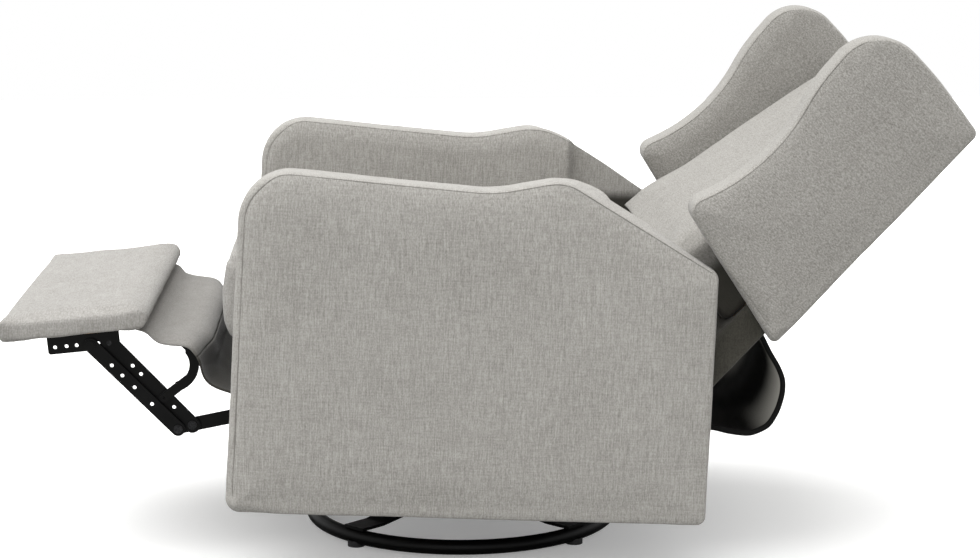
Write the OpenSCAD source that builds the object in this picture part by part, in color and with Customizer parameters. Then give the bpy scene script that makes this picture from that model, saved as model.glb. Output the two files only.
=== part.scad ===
// Swivel glider recliner with slim arms, a winged back and a fold-out footrest.
// Millimetres. The chair faces -Y, +X is the sitter's left, +Z is up.
// The floor is z = 0 and the origin is under the middle of the reclined chair.
// It is drawn fully reclined, with the footrest out.

/* [Stance] */
// Distance from the swivel axis to the middle of the whole length
middle_y = 19.5; // [0:0.5:60]
// How far the body leans back on its glide, in degrees
body_lean = 2.3; // [0:0.1:4]
// Angle of the reclined back above the level, in degrees
back_angle = 48.9; // [44:0.1:55]

/* [Swivel base] */
// Radius of the floor ring, to the middle of its tube
ring_r = 250; // [225:1:280]
// Radius of the ring's tube
ring_tube_r = 12; // [9:0.5:15]
// Height of the floor pads under the ring
pad_h = 4; // [3:0.5:8]
// Radius of a floor pad
pad_r = 14; // [10:0.5:18]
// Width of the flat cross straps
strap_w = 42; // [30:1:60]
// Thickness of the flat cross straps
strap_t = 5; // [4:0.5:8]
// How far the straps rise from the ring to the hub
strap_rise = 14; // [8:1:24]
// Radius of the fixed bearing plate
hub_r = 72; // [60:1:90]
// Thickness of the fixed bearing plate
hub_t = 4; // [3:0.5:8]
// Radius of the swivel spindle
spindle_r = 15; // [10:0.5:22]
// Outer radius of the sliding bearing ring
bearing_r = 62; // [50:1:72]
// Thickness of the sliding bearing ring
bearing_t = 6; // [4:0.5:10]

/* [Glide frame] */
// Side of the square turning plate
turn_plate_w = 190; // [160:1:240]
// Thickness of the turning plate
turn_plate_t = 4; // [3:0.5:8]
// Distance between the front and the rear glide pivots
glide_base = 240; // [200:1:280]
// Length of a hanging link between its pivots
link_length = 90; // [70:1:100]
// Width of a hanging link
link_w = 24; // [20:1:30]
// Height of the lower glide pivots above the floor
link_foot_z = 112; // [110:1:124]
// Distance from a side plate in to the inner face of an upright
upright_in = 54; // [50:1:62]
// Thickness of the uprights
upright_t = 4; // [3:0.5:5]
// Width of an upright
upright_w = 38; // [30:1:46]
// Radius of the glide pivot pins
glide_pin_r = 5; // [4:0.5:6]
// Wall of the bushes in the hanging links
bush_wall = 1.5; // [1:0.25:2.5]
// Height of the cross channels of the glide frame
channel_h = 24; // [18:1:30]

/* [Carriage] */
// Height of the carriage rails
rail_h = 34; // [28:1:38]
// Width of the carriage rails
rail_w = 24; // [18:1:28]
// Wall of the carriage tubes
tube_wall = 2; // [1.5:0.25:3]
// Distance from the swivel axis to the cross tubes
cross_y = 212; // [200:1:225]

/* [Reclining mechanism] */
// Thickness of the mechanism's steel plates and bars
plate_t = 3; // [2.5:0.5:4]
// Distance from the arm's outer face in to a side plate
plate_in = 152; // [148:1:158]
// Clearance between neighbouring plates and bars
layer_gap = 1; // [0.6:0.1:1.5]
// Extra gap beside the rear bars, for the heads of their rivets
head_gap = 3; // [2.5:0.25:4]
// Width of the footrest bars
bar_w = 22; // [18:0.5:24]
// Radius of the rivets of the mechanism
rivet_r = 4; // [3:0.25:5]
// Radius of a rivet head
rivet_head_r = 7; // [5.5:0.25:8]
// Height of a rivet head
rivet_head_h = 1.6; // [1:0.1:2]
// Radius of the small holes along the bars
bar_hole_r = 3; // [2:0.25:4]
// Outer radius of the cross shaft that joins both sides
shaft_r = 11; // [9:0.5:13]
// Length of the footrest brackets
bracket_length = 112; // [100:1:120]
// Drop of the footrest brackets under the board
bracket_drop = 36; // [32:1:40]
// Width of the back brackets
back_bar_w = 34; // [28:1:40]
// Thickness of the back brackets
back_bar_t = 4; // [3:0.5:5]

/* [Arms] */
// Overall width over the two arms
body_w = 800; // [760:1:840]
// Thickness of an arm beside the seat
arm_t = 74; // [66:1:82]
// Thickness of an arm beside the back
arm_rear_t = 44; // [40:1:48]
// Height of the lower edge of the arms above the floor
arm_z0 = 100; // [96:1:106]
// Distance from the swivel axis to the front of the arms
arm_front_y = 378; // [368:1:388]
// Distance from the swivel axis to the rear of the arms
arm_rear_y = 359; // [352:1:366]
// Height of the arm at its front corner
arm_front_z = 632; // [622:1:642]
// Height of the dip in the arm's top
arm_dip_z = 607; // [598:1:616]
// Height of the hump in the arm's top
arm_hump_z = 630; // [622:1:636]
// Distance from the swivel axis back to the hump
arm_hump_y = 120; // [110:1:130]
// Height of the arm at its rear corner
arm_rear_z = 493; // [484:1:498]
// Distance from the swivel axis back to the end of the thick inner pad
inner_pad_y = 187; // [170:1:200]
// Rounding of the arm's sewn edges
arm_edge_r = 12; // [8:1:18]
// Thickness of the plywood panel inside an arm
arm_board_t = 18; // [14:1:20]

/* [Seat] */
// Height of the underside of the seat cushion
seat_z = 340; // [334:1:346]
// Thickness of the seat cushion at its front
seat_t = 174; // [160:1:180]
// Fall of the seat towards the back
seat_fall = 26; // [16:1:36]
// Gap between the seat cushion and each arm
seat_gap = 3; // [2:0.5:5]
// Distance from the swivel axis to the flat of the cushion's front
seat_front_y = 376; // [370:1:382]
// Distance from the swivel axis to the rear of the seat cushion
seat_rear_y = 252; // [240:1:258]
// Swell of the cushion's front
seat_swell = 16; // [8:1:20]
// Crown of the cushion's top
seat_crown = 10; // [6:1:14]
// Height of the wooden seat frame
seat_frame_h = 24; // [18:1:26]
// Radius of the spring wire
wire_r = 2; // [1.5:0.25:2.5]

/* [Back] */
// Distance from the swivel axis to the heel of the back
heel_y = 448; // [444:1:452]
// Height of the heel of the back
heel_z = 385; // [382:1:390]
// Length of the back from the heel to its top
back_l = 444; // [430:1:456]
// Thickness of a wing
wing_t = 82; // [72:1:84]
// Depth of a wing at its top
wing_top_d = 233; // [222:1:240]
// Depth of a wing at its lower front corner
wing_nose_d = 250; // [240:1:252]
// Rounding of the wing's sewn edges
wing_edge_r = 14; // [10:1:16]
// Thickness of the outer back panel
outer_back_t = 14; // [10:1:16]
// Depth of the frame's posts and rails
back_frame_d = 42; // [34:1:46]
// Length of the covered part below the heel
skirt_l = 128; // [110:1:134]
// Distance from the thin part of an arm in to the skirt
skirt_in = 16; // [10:1:24]
// Depth of the back cushion's face at its lower edge
lumbar_d = 204; // [198:1:208]
// Depth of the back cushion's face at its top
head_d = 98; // [90:1:106]

/* [Footrest] */
// Distance from each arm's inner face in to the side of the footrest
rest_in = 6; // [4:1:24]
// Length of the footrest
rest_l = 218; // [205:1:222]
// Thickness of the footrest, board and padding
rest_t = 32; // [28:1:36]
// Thickness of the footrest's board
rest_board_t = 12; // [9:1:15]
// Slope of the footrest towards its toe, in degrees
rest_slope = 7.5; // [4:0.1:10]

/* [Release lever] */
// Length of the lever's recessed cup
cup_l = 116; // [100:1:130]
// Height of the lever's recessed cup
cup_h = 60; // [50:1:70]
// Wall of the lever's recessed cup
cup_wall = 3; // [2:0.5:4]
// Radius of the lever's hinge pin
lever_pin_r = 2.5; // [2:0.25:3.5]

/* [Hidden] */

steel = [0.05, 0.05, 0.055];
nylon = [0.16, 0.16, 0.17];
ply = [0.74, 0.6, 0.42];
cloth = [0.65, 0.64, 0.61];
cloth_pale = [0.78, 0.77, 0.74];
black_cloth = [0.06, 0.06, 0.065];
bright = [0.55, 0.55, 0.56];

// One overrun for all cuts, and the clearances of the fits
over = 2;
run_gap = 0.06;
rest_gap = 0.4;
seam_gap = 0.3;

half_w = body_w / 2;
plate_x = half_w - plate_in;
upright_x = plate_x - upright_in;
arm_inner_x = half_w - arm_t;
arm_rear_x = half_w - arm_rear_t;
rest_w = (arm_inner_x - rest_in) * 2;
skirt_x = arm_rear_x - skirt_in;

// Frames of reference: the room, the leaning body, and the reclined back with
// x across, s up the outer face and d forwards from it.
module in_room() {
    translate([0, -middle_y, 0]) children();
}
module on_body() {
    in_room() rotate([-body_lean, 0, 0]) children();
}
module on_back() {
    on_body() translate([0, heel_y, heel_z]) rotate([back_angle, 0, 0]) children();
}
module both_sides() {
    children();
    mirror([1, 0, 0]) children();
}
// Extrudes an outline drawn in y and z across x, from x0 to x1
module across(x0, x1) {
    translate([x0, 0, 0]) rotate([90, 0, 90]) linear_extrude(x1 - x0) children();
}
module pin_x(p, x0, x1, r) {
    translate([x0, p[0], p[1]]) rotate([0, 90, 0]) cylinder(h = x1 - x0, r = r, $fn = 48);
}
// A flat bar between two points, with round ends
module bar_2d(p, q, w) {
    l = norm(q - p);
    a = atan2(q[1] - p[1], q[0] - p[0]);
    translate(p) circle(d = w, $fn = 48);
    translate(q) circle(d = w, $fn = 48);
    translate(p) rotate(a) translate([0, -w / 2]) square([l, w]);
}
// A flat bar that bends at each point of its path, with square ends
function beside(path, e) =
    let (m = len(path))
    [for (i = [0:m - 1])
        let (a = unit(path[max(i, 1)] - path[max(i, 1) - 1]),
            b = unit(path[min(i, m - 2) + 1] - path[min(i, m - 2)]),
            n0 = [-a[1], a[0]], n = unit(n0 + [-b[1], b[0]]))
        path[i] + n * e / (n * n0)];
module band_2d(path, w) {
    left = beside(path, w / 2);
    right = beside(path, -w / 2);
    polygon(concat(left, [for (i = [len(path) - 1:-1:0]) right[i]]));
}
module hole_2d(p, r) {
    translate(p) circle(r = r, $fn = 36);
}

// Outline helpers: corners are [a, b, radius], and become arcs of n steps
function unit(v) = v / norm(v);
function flat(v) = [v[0], v[1]];
function turn(a) = a > 180 ? a - 360 : (a < -180 ? a + 360 : a);
function arc_at(p, q, s, r, n) =
    let (u = unit(p - q), v = unit(s - q),
        half = acos(u * v) / 2,
        mid = q + unit(u + v) * r / sin(half),
        a = q + u * r / tan(half) - mid,
        b = q + v * r / tan(half) - mid,
        a0 = atan2(a[1], a[0]),
        da = turn(atan2(b[1], b[0]) - a0))
    [for (k = [0:n]) mid + r * [cos(a0 + da * k / n), sin(a0 + da * k / n)]];
function rounded(c, n = 5) =
    let (m = len(c))
    [for (i = [0:m - 1]) each arc_at(flat(c[(i + m - 1) % m]), flat(c[i]),
        flat(c[(i + 1) % m]), c[i][2], n)];
// Moves every point of a counter-clockwise outline inwards by e
function inset(pts, e) =
    let (m = len(pts))
    [for (i = [0:m - 1])
        let (a = unit(pts[i] - pts[(i + m - 1) % m]),
            b = unit(pts[(i + 1) % m] - pts[i]),
            n0 = [-a[1], a[0]], n1 = [-b[1], b[0]], n = unit(n0 + n1))
        pts[i] + n * e / max(0.5, n * n0)];
// A closed solid through rings of points, with a fan at each end
module ring_solid(rings) {
    m = len(rings[0]);
    k = len(rings);
    lo = [for (c = [0:2]) mean([for (p = rings[0]) p[c]])];
    hi = [for (c = [0:2]) mean([for (p = rings[k - 1]) p[c]])];
    points = concat([for (ring = rings) each ring], [lo, hi]);
    faces = concat(
        [for (i = [0:k - 2], j = [0:m - 1]) [i * m + j, (i + 1) * m + (j + 1) % m,
            i * m + (j + 1) % m]],
        [for (i = [0:k - 2], j = [0:m - 1]) [i * m + j, (i + 1) * m + j,
            (i + 1) * m + (j + 1) % m]],
        [for (j = [0:m - 1]) [k * m, j, (j + 1) % m]],
        [for (j = [0:m - 1]) [k * m + 1, (k - 1) * m + (j + 1) % m, (k - 1) * m + j]]);
    polyhedron(points = points, faces = faces);
}
function total(v, i = 0) = i < len(v) ? v[i] + total(v, i + 1) : 0;
function mean(v) = total(v) / len(v);
// Shares of a sewn edge's rounding: how far in, and how far along
edge_shares = [[1, 0], [0.45, 0.12], [0.12, 0.45], [0, 1]];
// A padded slab across x from x0 to x1, whose edges are rounded by r
module padded_slab(pts, x0, x1, r) {
    lower = [for (e = edge_shares) [x0 + r * e[1], r * e[0]]];
    upper = [for (i = [3:-1:0]) [x1 - r * edge_shares[i][1], r * edge_shares[i][0]]];
    ring_solid([for (lv = concat(lower, upper))
        [for (p = inset(pts, lv[1])) [lv[0], p[0], p[1]]]]);
}
// A rounded rectangle, counter-clockwise, in x and y
function pad_outline(hx, y0, y1, r) =
    rounded([[hx, y0, r], [hx, y1, r], [-hx, y1, r], [-hx, y0, r]], 5);

// Swivel base: a ring on four pads, two straps, and the fixed half of the bearing
ring_z = pad_h + ring_tube_r;
strap_end_z = ring_z + ring_tube_r;
hub_z = strap_end_z + strap_rise + strap_t;
turn_z = hub_z + hub_t + bearing_t;
hub_bend_r = hub_r + strap_w / 2;
quarter = 90;
module base_ring() {
    color(steel) in_room() translate([0, 0, ring_z]) rotate_extrude($fn = 96)
        translate([ring_r, 0]) circle(r = ring_tube_r, $fn = 32);
}
module floor_pads() {
    color(nylon) in_room() for (a = [0:3]) rotate(quarter * (a + 1 / 2))
        translate([ring_r, 0, 0]) difference() {
            cylinder(h = pad_h + ring_tube_r / 2, r = pad_r, $fn = 48);
            translate([-ring_r, 0, ring_z]) rotate_extrude($fn = 96)
                translate([ring_r, 0]) circle(r = ring_tube_r, $fn = 32);
        }
}
module strap_2d() {
    r0 = ring_r + ring_tube_r / 2;
    r1 = ring_r - strap_w;
    r2 = hub_bend_r;
    z0 = strap_end_z;
    z1 = z0 + strap_rise;
    polygon([[-r0, z0], [-r1, z0], [-r2, z1], [r2, z1], [r1, z0], [r0, z0],
        [r0, z0 + strap_t], [r1, z0 + strap_t], [r2, z1 + strap_t],
        [-r2, z1 + strap_t], [-r1, z0 + strap_t], [-r0, z0 + strap_t]]);
}
module base_straps() {
    color(steel) in_room() for (a = [0, 1]) rotate(quarter * (a + 1 / 2))
        translate([0, strap_w / 2, 0]) rotate([90, 0, 0])
            linear_extrude(strap_w) strap_2d();
}
module base_hub() {
    color(steel) in_room() translate([0, 0, hub_z]) {
        cylinder(h = hub_t, r = hub_r, $fn = 72);
        cylinder(h = hub_t + bearing_t + turn_plate_t + hub_t, r = spindle_r, $fn = 48);
        translate([0, 0, hub_t + bearing_t + turn_plate_t + rest_gap])
            cylinder(h = hub_t, r = spindle_r + strap_t, $fn = 48);
    }
}
module bearing_ring() {
    color(nylon) in_room() translate([0, 0, hub_z + hub_t]) difference() {
        cylinder(h = bearing_t - seam_gap, r = bearing_r, $fn = 72);
        translate([0, 0, -over]) cylinder(h = bearing_t + over * 2,
            r = spindle_r + run_gap, $fn = 48);
    }
}

// Glide frame: it turns on the base and carries four uprights with hanging links
link_head_z = link_foot_z + link_length;
channel_z = turn_z + turn_plate_t;
half_base = glide_base / 2;
link_t = plate_t;
link_x = upright_x + upright_t + layer_gap;
rail_x = link_x + link_t + layer_gap;
upright_top_z = link_head_z + link_w / 2;
module turning_plate() {
    color(steel) in_room() translate([0, 0, turn_z]) difference() {
        translate([-turn_plate_w / 2, -turn_plate_w / 2, 0])
            cube([turn_plate_w, turn_plate_w, turn_plate_t]);
        translate([0, 0, -over]) cylinder(h = turn_plate_t + over * 2,
            r = spindle_r + run_gap, $fn = 48);
    }
}
module upright_2d() {
    difference() {
        bar_2d([0, channel_z + upright_w / 2], [0, link_head_z], upright_w);
        hole_2d([0, link_head_z], glide_pin_r);
    }
}
module glide_frame() {
    side_x = turn_plate_w / 2 - upright_w;
    color(steel) in_room() {
        for (y = [-half_base, half_base]) translate([-upright_x, y - upright_w / 2, channel_z])
            difference() {
                cube([upright_x * 2, upright_w, channel_h]);
                translate([-over, upright_t, upright_t]) cube([upright_x * 2 + over * 2,
                    upright_w - upright_t * 2, channel_h - upright_t * 2]);
            }
        for (x = [-side_x - upright_w, side_x]) translate([x, -half_base + upright_w / 2, channel_z])
            cube([upright_w, glide_base - upright_w, upright_t]);
        both_sides() for (y = [-half_base, half_base]) translate([0, y, 0])
            across(upright_x, upright_x + upright_t) upright_2d();
    }
}
module upper_glide_pins() {
    x1 = link_x + link_t + rest_gap;
    color(bright) in_room() both_sides() for (y = [-half_base, half_base]) {
        pin_x([y, link_head_z], upright_x, x1, glide_pin_r);
        pin_x([y, link_head_z], x1, x1 + rivet_head_h, glide_pin_r * 2);
        pin_x([y, link_head_z], upright_x - rivet_head_h, upright_x, glide_pin_r * 2);
    }
}
// Hanging links, with a nylon bush in each eye
bush_r = glide_pin_r + bush_wall + run_gap;
module glide_links(y) {
    color(steel) in_room() both_sides() across(link_x, link_x + link_t) difference() {
        bar_2d([y, link_foot_z], [y, link_head_z], link_w);
        hole_2d([y, link_foot_z], bush_r);
        hole_2d([y, link_head_z], bush_r);
    }
}
module link_bushes(y) {
    color(nylon) in_room() both_sides() for (z = [link_foot_z, link_head_z])
        across(link_x, link_x + link_t) difference() {
            hole_2d([y, z], bush_r);
            hole_2d([y, z], glide_pin_r + run_gap);
        }
}
module front_glide_links() {
    glide_links(-half_base);
}
module front_link_bushes() {
    link_bushes(-half_base);
}
module rear_glide_links() {
    glide_links(half_base);
}
module rear_link_bushes() {
    link_bushes(half_base);
}

// Carriage: two rails on the links' lower ends, and two cross tubes.
// The rails lean with the body, so each lower pivot is turned into its frame.
function to_body(p) = [p[0] * cos(body_lean) - p[1] * sin(body_lean),
    p[0] * sin(body_lean) + p[1] * cos(body_lean)];
front_foot = to_body([-half_base, link_foot_z]);
rear_foot = to_body([half_base, link_foot_z]);
rail_z = (front_foot[1] + rear_foot[1]) / 2 - rail_h / 2;
module box_tube(size, along) {
    w = tube_wall;
    cut = along == 0
        ? [[-over, w, w], [size[0] + over * 2, size[1] - w * 2, size[2] - w * 2]]
        : [[w, -over, w], [size[0] - w * 2, size[1] + over * 2, size[2] - w * 2]];
    difference() {
        cube(size);
        translate(cut[0]) cube(cut[1]);
    }
}
module carriage_rails() {
    y1 = cross_y - rail_w / 2;
    color(steel) on_body() both_sides() difference() {
        translate([rail_x, -y1, rail_z]) box_tube([rail_w, y1 * 2, rail_h], 1);
        for (p = [front_foot, rear_foot])
            pin_x(p, rail_x - over, rail_x + tube_wall + over, glide_pin_r);
    }
}
module cross_tubes() {
    color(steel) on_body() for (y = [-cross_y, cross_y])
        translate([-plate_x, y - rail_w / 2, rail_z]) box_tube([plate_x * 2, rail_w, rail_h], 0);
}
module lower_glide_pins() {
    x0 = link_x - rest_gap;
    color(bright) on_body() both_sides() for (p = [front_foot, rear_foot]) {
        pin_x(p, x0, rail_x + tube_wall, glide_pin_r);
        pin_x(p, rail_x + tube_wall, rail_x + tube_wall * 2, glide_pin_r + tube_wall);
    }
}

// Reclining mechanism. Its pivots, in the body's y and z:
// shaft, knee and toe carry the footrest, and recline carries the back.
shaft_at = [-297, 239];
knee_at = [-439, 205];
toe_at = [-570, 333];
recline_at = [162.5, 273];
elbow_at = [277, 229];
// The stay bar's pivots, beyond the knee and ahead of the toe
knee_reach = 22;
toe_reach = 28;
stay_knee = knee_at + unit(knee_at - shaft_at) * knee_reach;
stay_toe = toe_at + [-cos(rest_slope), -sin(rest_slope)] * toe_reach;
// Layers from the side plate outwards
rear_bar_x = plate_x + plate_t + layer_gap;
front_bar_x = rear_bar_x + plate_t + head_gap;
bracket_x = front_bar_x + plate_t + layer_gap;
stay_bar_x = bracket_x + plate_t + layer_gap;
seat_frame_z = seat_z - seat_frame_h;
plate_foot_z = rail_z;
module side_plate_2d() {
    g = shaft_at;
    r = recline_at;
    leg = rail_w / 2;
    eye = back_bar_w / 2;
    difference() {
        union() {
            polygon([[g[0] - eye, g[1]], [g[0] + eye, seat_frame_z],
                [r[0] - eye * 2, seat_frame_z], [r[0] + eye, r[1]],
                [cross_y + leg, g[1]], [cross_y + leg, plate_foot_z],
                [cross_y - leg, plate_foot_z], [cross_y - leg * 3, g[1] - eye],
                [-cross_y + leg * 3, g[1] - eye], [-cross_y + leg, plate_foot_z],
                [-cross_y - leg, plate_foot_z], [-cross_y - leg, g[1] - eye]]);
            translate(g) circle(r = eye + tube_wall, $fn = 48);
            translate(r) circle(r = eye + tube_wall, $fn = 48);
        }
        hole_2d(g, shaft_r + run_gap);
        hole_2d(r, rivet_r * 2);
        for (k = [-2:2]) translate([k * back_bar_w * 2, g[1] + back_bar_w]) circle(r = eye / 2, $fn = 36);
    }
}
module side_plates() {
    color(steel) on_body() both_sides() across(plate_x, plate_x + plate_t) side_plate_2d();
}
module arm_brackets() {
    z0 = shaft_at[1];
    color(steel) on_body() both_sides() for (y = [-back_bar_w * 2, back_bar_w * 2])
        translate([plate_x + plate_t, y, z0]) difference() {
            cube([arm_board_x - plate_x - plate_t, back_bar_w, back_bar_w]);
            translate([-over, plate_t, plate_t])
                cube([arm_board_x - plate_x + over, back_bar_w, back_bar_w]);
        }
}
module cross_shaft() {
    color(steel) on_body() difference() {
        pin_x(shaft_at, -rear_bar_x, rear_bar_x, shaft_r);
        pin_x(shaft_at, -plate_x - plate_t - over * 3, plate_x + plate_t + over * 3,
            shaft_r - tube_wall);
    }
}
module rear_footrest_bars() {
    color(steel) on_body() both_sides() across(rear_bar_x, rear_bar_x + plate_t) difference() {
        union() {
            bar_2d(shaft_at, knee_at, bar_w);
            bar_2d(knee_at, stay_knee, bar_w);
            translate(shaft_at) circle(r = shaft_r + plate_t, $fn = 48);
        }
        hole_2d(knee_at, rivet_r);
        hole_2d(stay_knee, rivet_r);
        hole_2d(shaft_at * 0.65 + knee_at * 0.35, bar_hole_r);
    }
}
// Rivets fixed in the rear bars: at the knee, and at the stay bar's foot
module knee_rivets() {
    x0 = rear_bar_x - rivet_head_h / 2;
    x1 = front_bar_x + plate_t + rest_gap;
    x2 = stay_bar_x + plate_t + rest_gap;
    color(bright) on_body() both_sides() {
        pin_x(knee_at, x0, x1, rivet_r);
        pin_x(knee_at, rear_bar_x + plate_t, front_bar_x - rest_gap, rivet_head_r);
        pin_x(knee_at, x1, x1 + rivet_head_h - rest_gap, rivet_head_r);
        pin_x(stay_knee, x0, x2, rivet_r);
        pin_x(stay_knee, x2, x2 + rivet_head_h, rivet_head_r);
    }
}
module front_footrest_bars() {
    color(steel) on_body() both_sides() across(front_bar_x, front_bar_x + plate_t) difference() {
        bar_2d(knee_at, toe_at, bar_w + plate_t);
        hole_2d(knee_at, rivet_r + run_gap);
        hole_2d(toe_at, rivet_r + run_gap);
        for (t = [0.22, 0.62, 0.72]) hole_2d(knee_at * (1 - t) + toe_at * t, bar_hole_r);
    }
}
// Curved hooks on the front bars hold the fabric flap clear of the bars
hook_mid = [-474, 302];
hook_r = 44;
hook_w = 15;
module flap_hooks() {
    foot = knee_at * 0.66 + toe_at * 0.34;
    color(steel) on_body() both_sides() across(bracket_x - layer_gap, bracket_x + plate_t)
        difference() {
            union() {
                intersection() {
                    translate(hook_mid) difference() {
                        circle(r = hook_r, $fn = 72);
                        circle(r = hook_r - hook_w, $fn = 72);
                    }
                    translate(hook_mid) polygon([[hook_w / 2, -hook_r * 2], [hook_r * 2, -hook_r * 2],
                        [hook_r * 2, hook_r * 2], [hook_r / 2, hook_r * 2], [hook_r / 2, 0],
                        [hook_w / 2, 0]]);
                }
                bar_2d(foot, hook_mid + [hook_r - hook_w, -hook_r / 2], hook_w);
            }
            hole_2d(foot, bar_hole_r / 2);
        }
}
module stay_bars() {
    color(steel) on_body() both_sides() {
        across(stay_bar_x, stay_bar_x + plate_t) difference() {
            bar_2d(stay_knee, stay_toe, bar_w);
            hole_2d(stay_knee, rivet_r + run_gap);
            for (t = [0.3, 0.5, 0.64, 0.76])
                hole_2d(stay_knee * (1 - t) + stay_toe * t, bar_hole_r);
        }
        pin_x(stay_toe, stay_bar_x + plate_t, stay_bar_x + plate_t + rivet_head_h, rivet_head_r);
    }
}
// The footrest's own frame: u runs from its heel to its toe, v up through it
rest_heel = [-515, 367];
rest_turn = 180 + rest_slope;
function on_rest_2d(u, v) = rest_heel + u * [cos(rest_turn), sin(rest_turn)]
    - v * [-sin(rest_turn), cos(rest_turn)];
bracket_u = 42;
module footrest_brackets() {
    u0 = bracket_u;
    u1 = u0 + bracket_length;
    d = bracket_drop;
    flange = bar_w + plate_t;
    color(steel) on_body() both_sides() {
        across(bracket_x, bracket_x + plate_t) difference() {
            polygon([on_rest_2d(u0, 0), on_rest_2d(u1, 0), on_rest_2d(u1, -d + plate_t),
                on_rest_2d(u1 - plate_t, -d), on_rest_2d(u0 + d, -d), on_rest_2d(u0, -d * 0.7)]);
            hole_2d(toe_at, rivet_r);
            for (t = [0.1, 0.26, 0.4, 0.7]) hole_2d(on_rest_2d(u1 - bracket_length * t, -d * 0.7), bar_hole_r);
        }
        across(bracket_x - flange, bracket_x)
            polygon([on_rest_2d(u0, 0), on_rest_2d(u1, 0), on_rest_2d(u1, -plate_t),
                on_rest_2d(u0, -plate_t)]);
    }
}
module bracket_rivets() {
    x0 = front_bar_x - rest_gap;
    color(bright) on_body() both_sides() {
        pin_x(toe_at, x0, bracket_x + plate_t, rivet_r);
        pin_x(toe_at, x0 - rivet_head_h, x0, rivet_head_r);
    }
}

// Arms: a plywood panel in a padded cover, which is thick beside the seat
arm_lining = 4;
arm_board_x = arm_rear_x + arm_lining;
arm_dip_y = 12;
arm_bottom_r = 22;
arm_top_r = 78;
arm_soft_r = 70;
arm_rear_r = 14;
arm_slant = 11;
arm_corners = [[-arm_front_y, arm_z0, arm_bottom_r], [arm_rear_y, arm_z0, arm_rear_r],
    [arm_rear_y, arm_rear_z, arm_rear_r], [arm_hump_y, arm_hump_z, arm_soft_r],
    [arm_dip_y, arm_dip_z, arm_soft_r * 3], [-arm_front_y + arm_slant, arm_front_z, arm_top_r]];
arm_path = rounded(arm_corners);
board_in = 28;
board_round_share = 0.6;
module arm_cover() {
    low_z = seat_z - seat_frame_h * 2;
    difference() {
        padded_slab(arm_path, arm_inner_x, half_w, arm_edge_r);
        // the arm is thin beside the back
        translate([arm_inner_x - over, inner_pad_y, arm_z0 - over])
            cube([arm_rear_x - arm_inner_x + over, arm_rear_y, arm_front_z]);
        // below the seat the inner pad is left off, and the panel shows
        translate([arm_inner_x - over, -arm_front_y + arm_t / 2, arm_z0 - over])
            cube([arm_board_x - arm_inner_x + over + seam_gap, arm_front_y * 2, low_z - arm_z0]);
        // the pocket for the panel, open at the bottom
        across(arm_board_x - seam_gap, arm_board_x + arm_board_t + seam_gap)
            arm_board_2d(seam_gap, over);
    }
}
module arm_board_2d(e, below) {
    p = inset([for (c = arm_corners) flat(c)], board_in - e);
    z0 = arm_z0 - below;
    polygon(rounded([for (i = [0:len(p) - 1])
        [p[i][0], i < 2 ? z0 : p[i][1], arm_corners[i][2] * board_round_share]]));
}
module arm_board() {
    across(arm_board_x, arm_board_x + arm_board_t) arm_board_2d(0, 0);
}
module left_arm_board() {
    color(ply) on_body() arm_board();
}
module right_arm_board() {
    color(ply) on_body() mirror([1, 0, 0]) arm_board();
}
module left_arm() {
    color(cloth) on_body() arm_cover();
}
module right_arm() {
    color(cloth) on_body() mirror([1, 0, 0]) difference() {
        arm_cover();
        cup_pocket();
    }
}

// Release lever: a hinged paddle in a cup let into the outer face of the right arm
cup_y = -160;
cup_z = 400;
lever_pin_in = 8;
cup_depth = half_w - arm_board_x - arm_board_t;
module cup_pocket() {
    gap = seam_gap;
    translate([half_w - cup_depth - over, cup_y - gap, cup_z - gap])
        cube([cup_depth + over * 2, cup_l + gap * 2, cup_h + gap * 2]);
}
lever_pin_x = half_w - lever_pin_in;
lever_pin_z = cup_z + cup_h - lever_pin_in - cup_wall;
module release_cup() {
    w = cup_wall;
    color(nylon) on_body() mirror([1, 0, 0]) difference() {
        translate([half_w - cup_depth, cup_y, cup_z]) cube([cup_depth, cup_l, cup_h]);
        translate([half_w - cup_depth + w, cup_y + w, cup_z + w])
            cube([cup_depth, cup_l - w * 2, cup_h - w * 2]);
        translate([lever_pin_x, cup_y - over, lever_pin_z]) rotate([-90, 0, 0])
            cylinder(h = cup_l + over * 2, r = lever_pin_r, $fn = 32);
    }
}
module lever_pin() {
    color(bright) on_body() mirror([1, 0, 0]) translate([lever_pin_x, cup_y, lever_pin_z])
        rotate([-90, 0, 0]) cylinder(h = cup_l, r = lever_pin_r, $fn = 32);
}
module release_lever() {
    w = cup_wall;
    y0 = cup_y + w + rest_gap;
    l = cup_l - w * 2 - rest_gap * 2;
    eye_r = lever_pin_r + w;
    drop = cup_h * 0.6;
    color(nylon) on_body() mirror([1, 0, 0]) difference() {
        union() {
            translate([lever_pin_x, y0, lever_pin_z]) rotate([-90, 0, 0])
                cylinder(h = l, r = eye_r, $fn = 48);
            translate([lever_pin_x, y0, lever_pin_z - drop]) cube([eye_r, l, drop]);
        }
        translate([lever_pin_x, y0 - over, lever_pin_z]) rotate([-90, 0, 0])
            cylinder(h = l + over * 2, r = lever_pin_r + run_gap, $fn = 32);
        translate([lever_pin_x - over, y0 + w, lever_pin_z - drop + w])
            cube([over + eye_r / 2, l - w * 2, drop - eye_r - w * 2]);
    }
}

// Seat: a wooden frame on the side plates, wire springs and a crowned cushion
seat_x = arm_inner_x - seat_gap;
frame_front_y = -300;
frame_board = 36;
module seat_frame() {
    x = arm_inner_x - seat_gap * 2;
    y0 = frame_front_y;
    y1 = seat_rear_y - seat_gap * 2;
    color(ply) on_body() translate([0, 0, seat_frame_z]) difference() {
        translate([-x, y0, 0]) cube([x * 2, y1 - y0, seat_frame_h]);
        translate([-plate_x + frame_board, y0 + frame_board, -over])
            cube([plate_x * 2 - frame_board * 2, y1 - y0 - frame_board * 2,
                seat_frame_h + over * 2]);
    }
}
spring_count = 4;
spring_waves = 6;
wave_steps = 6;
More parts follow.
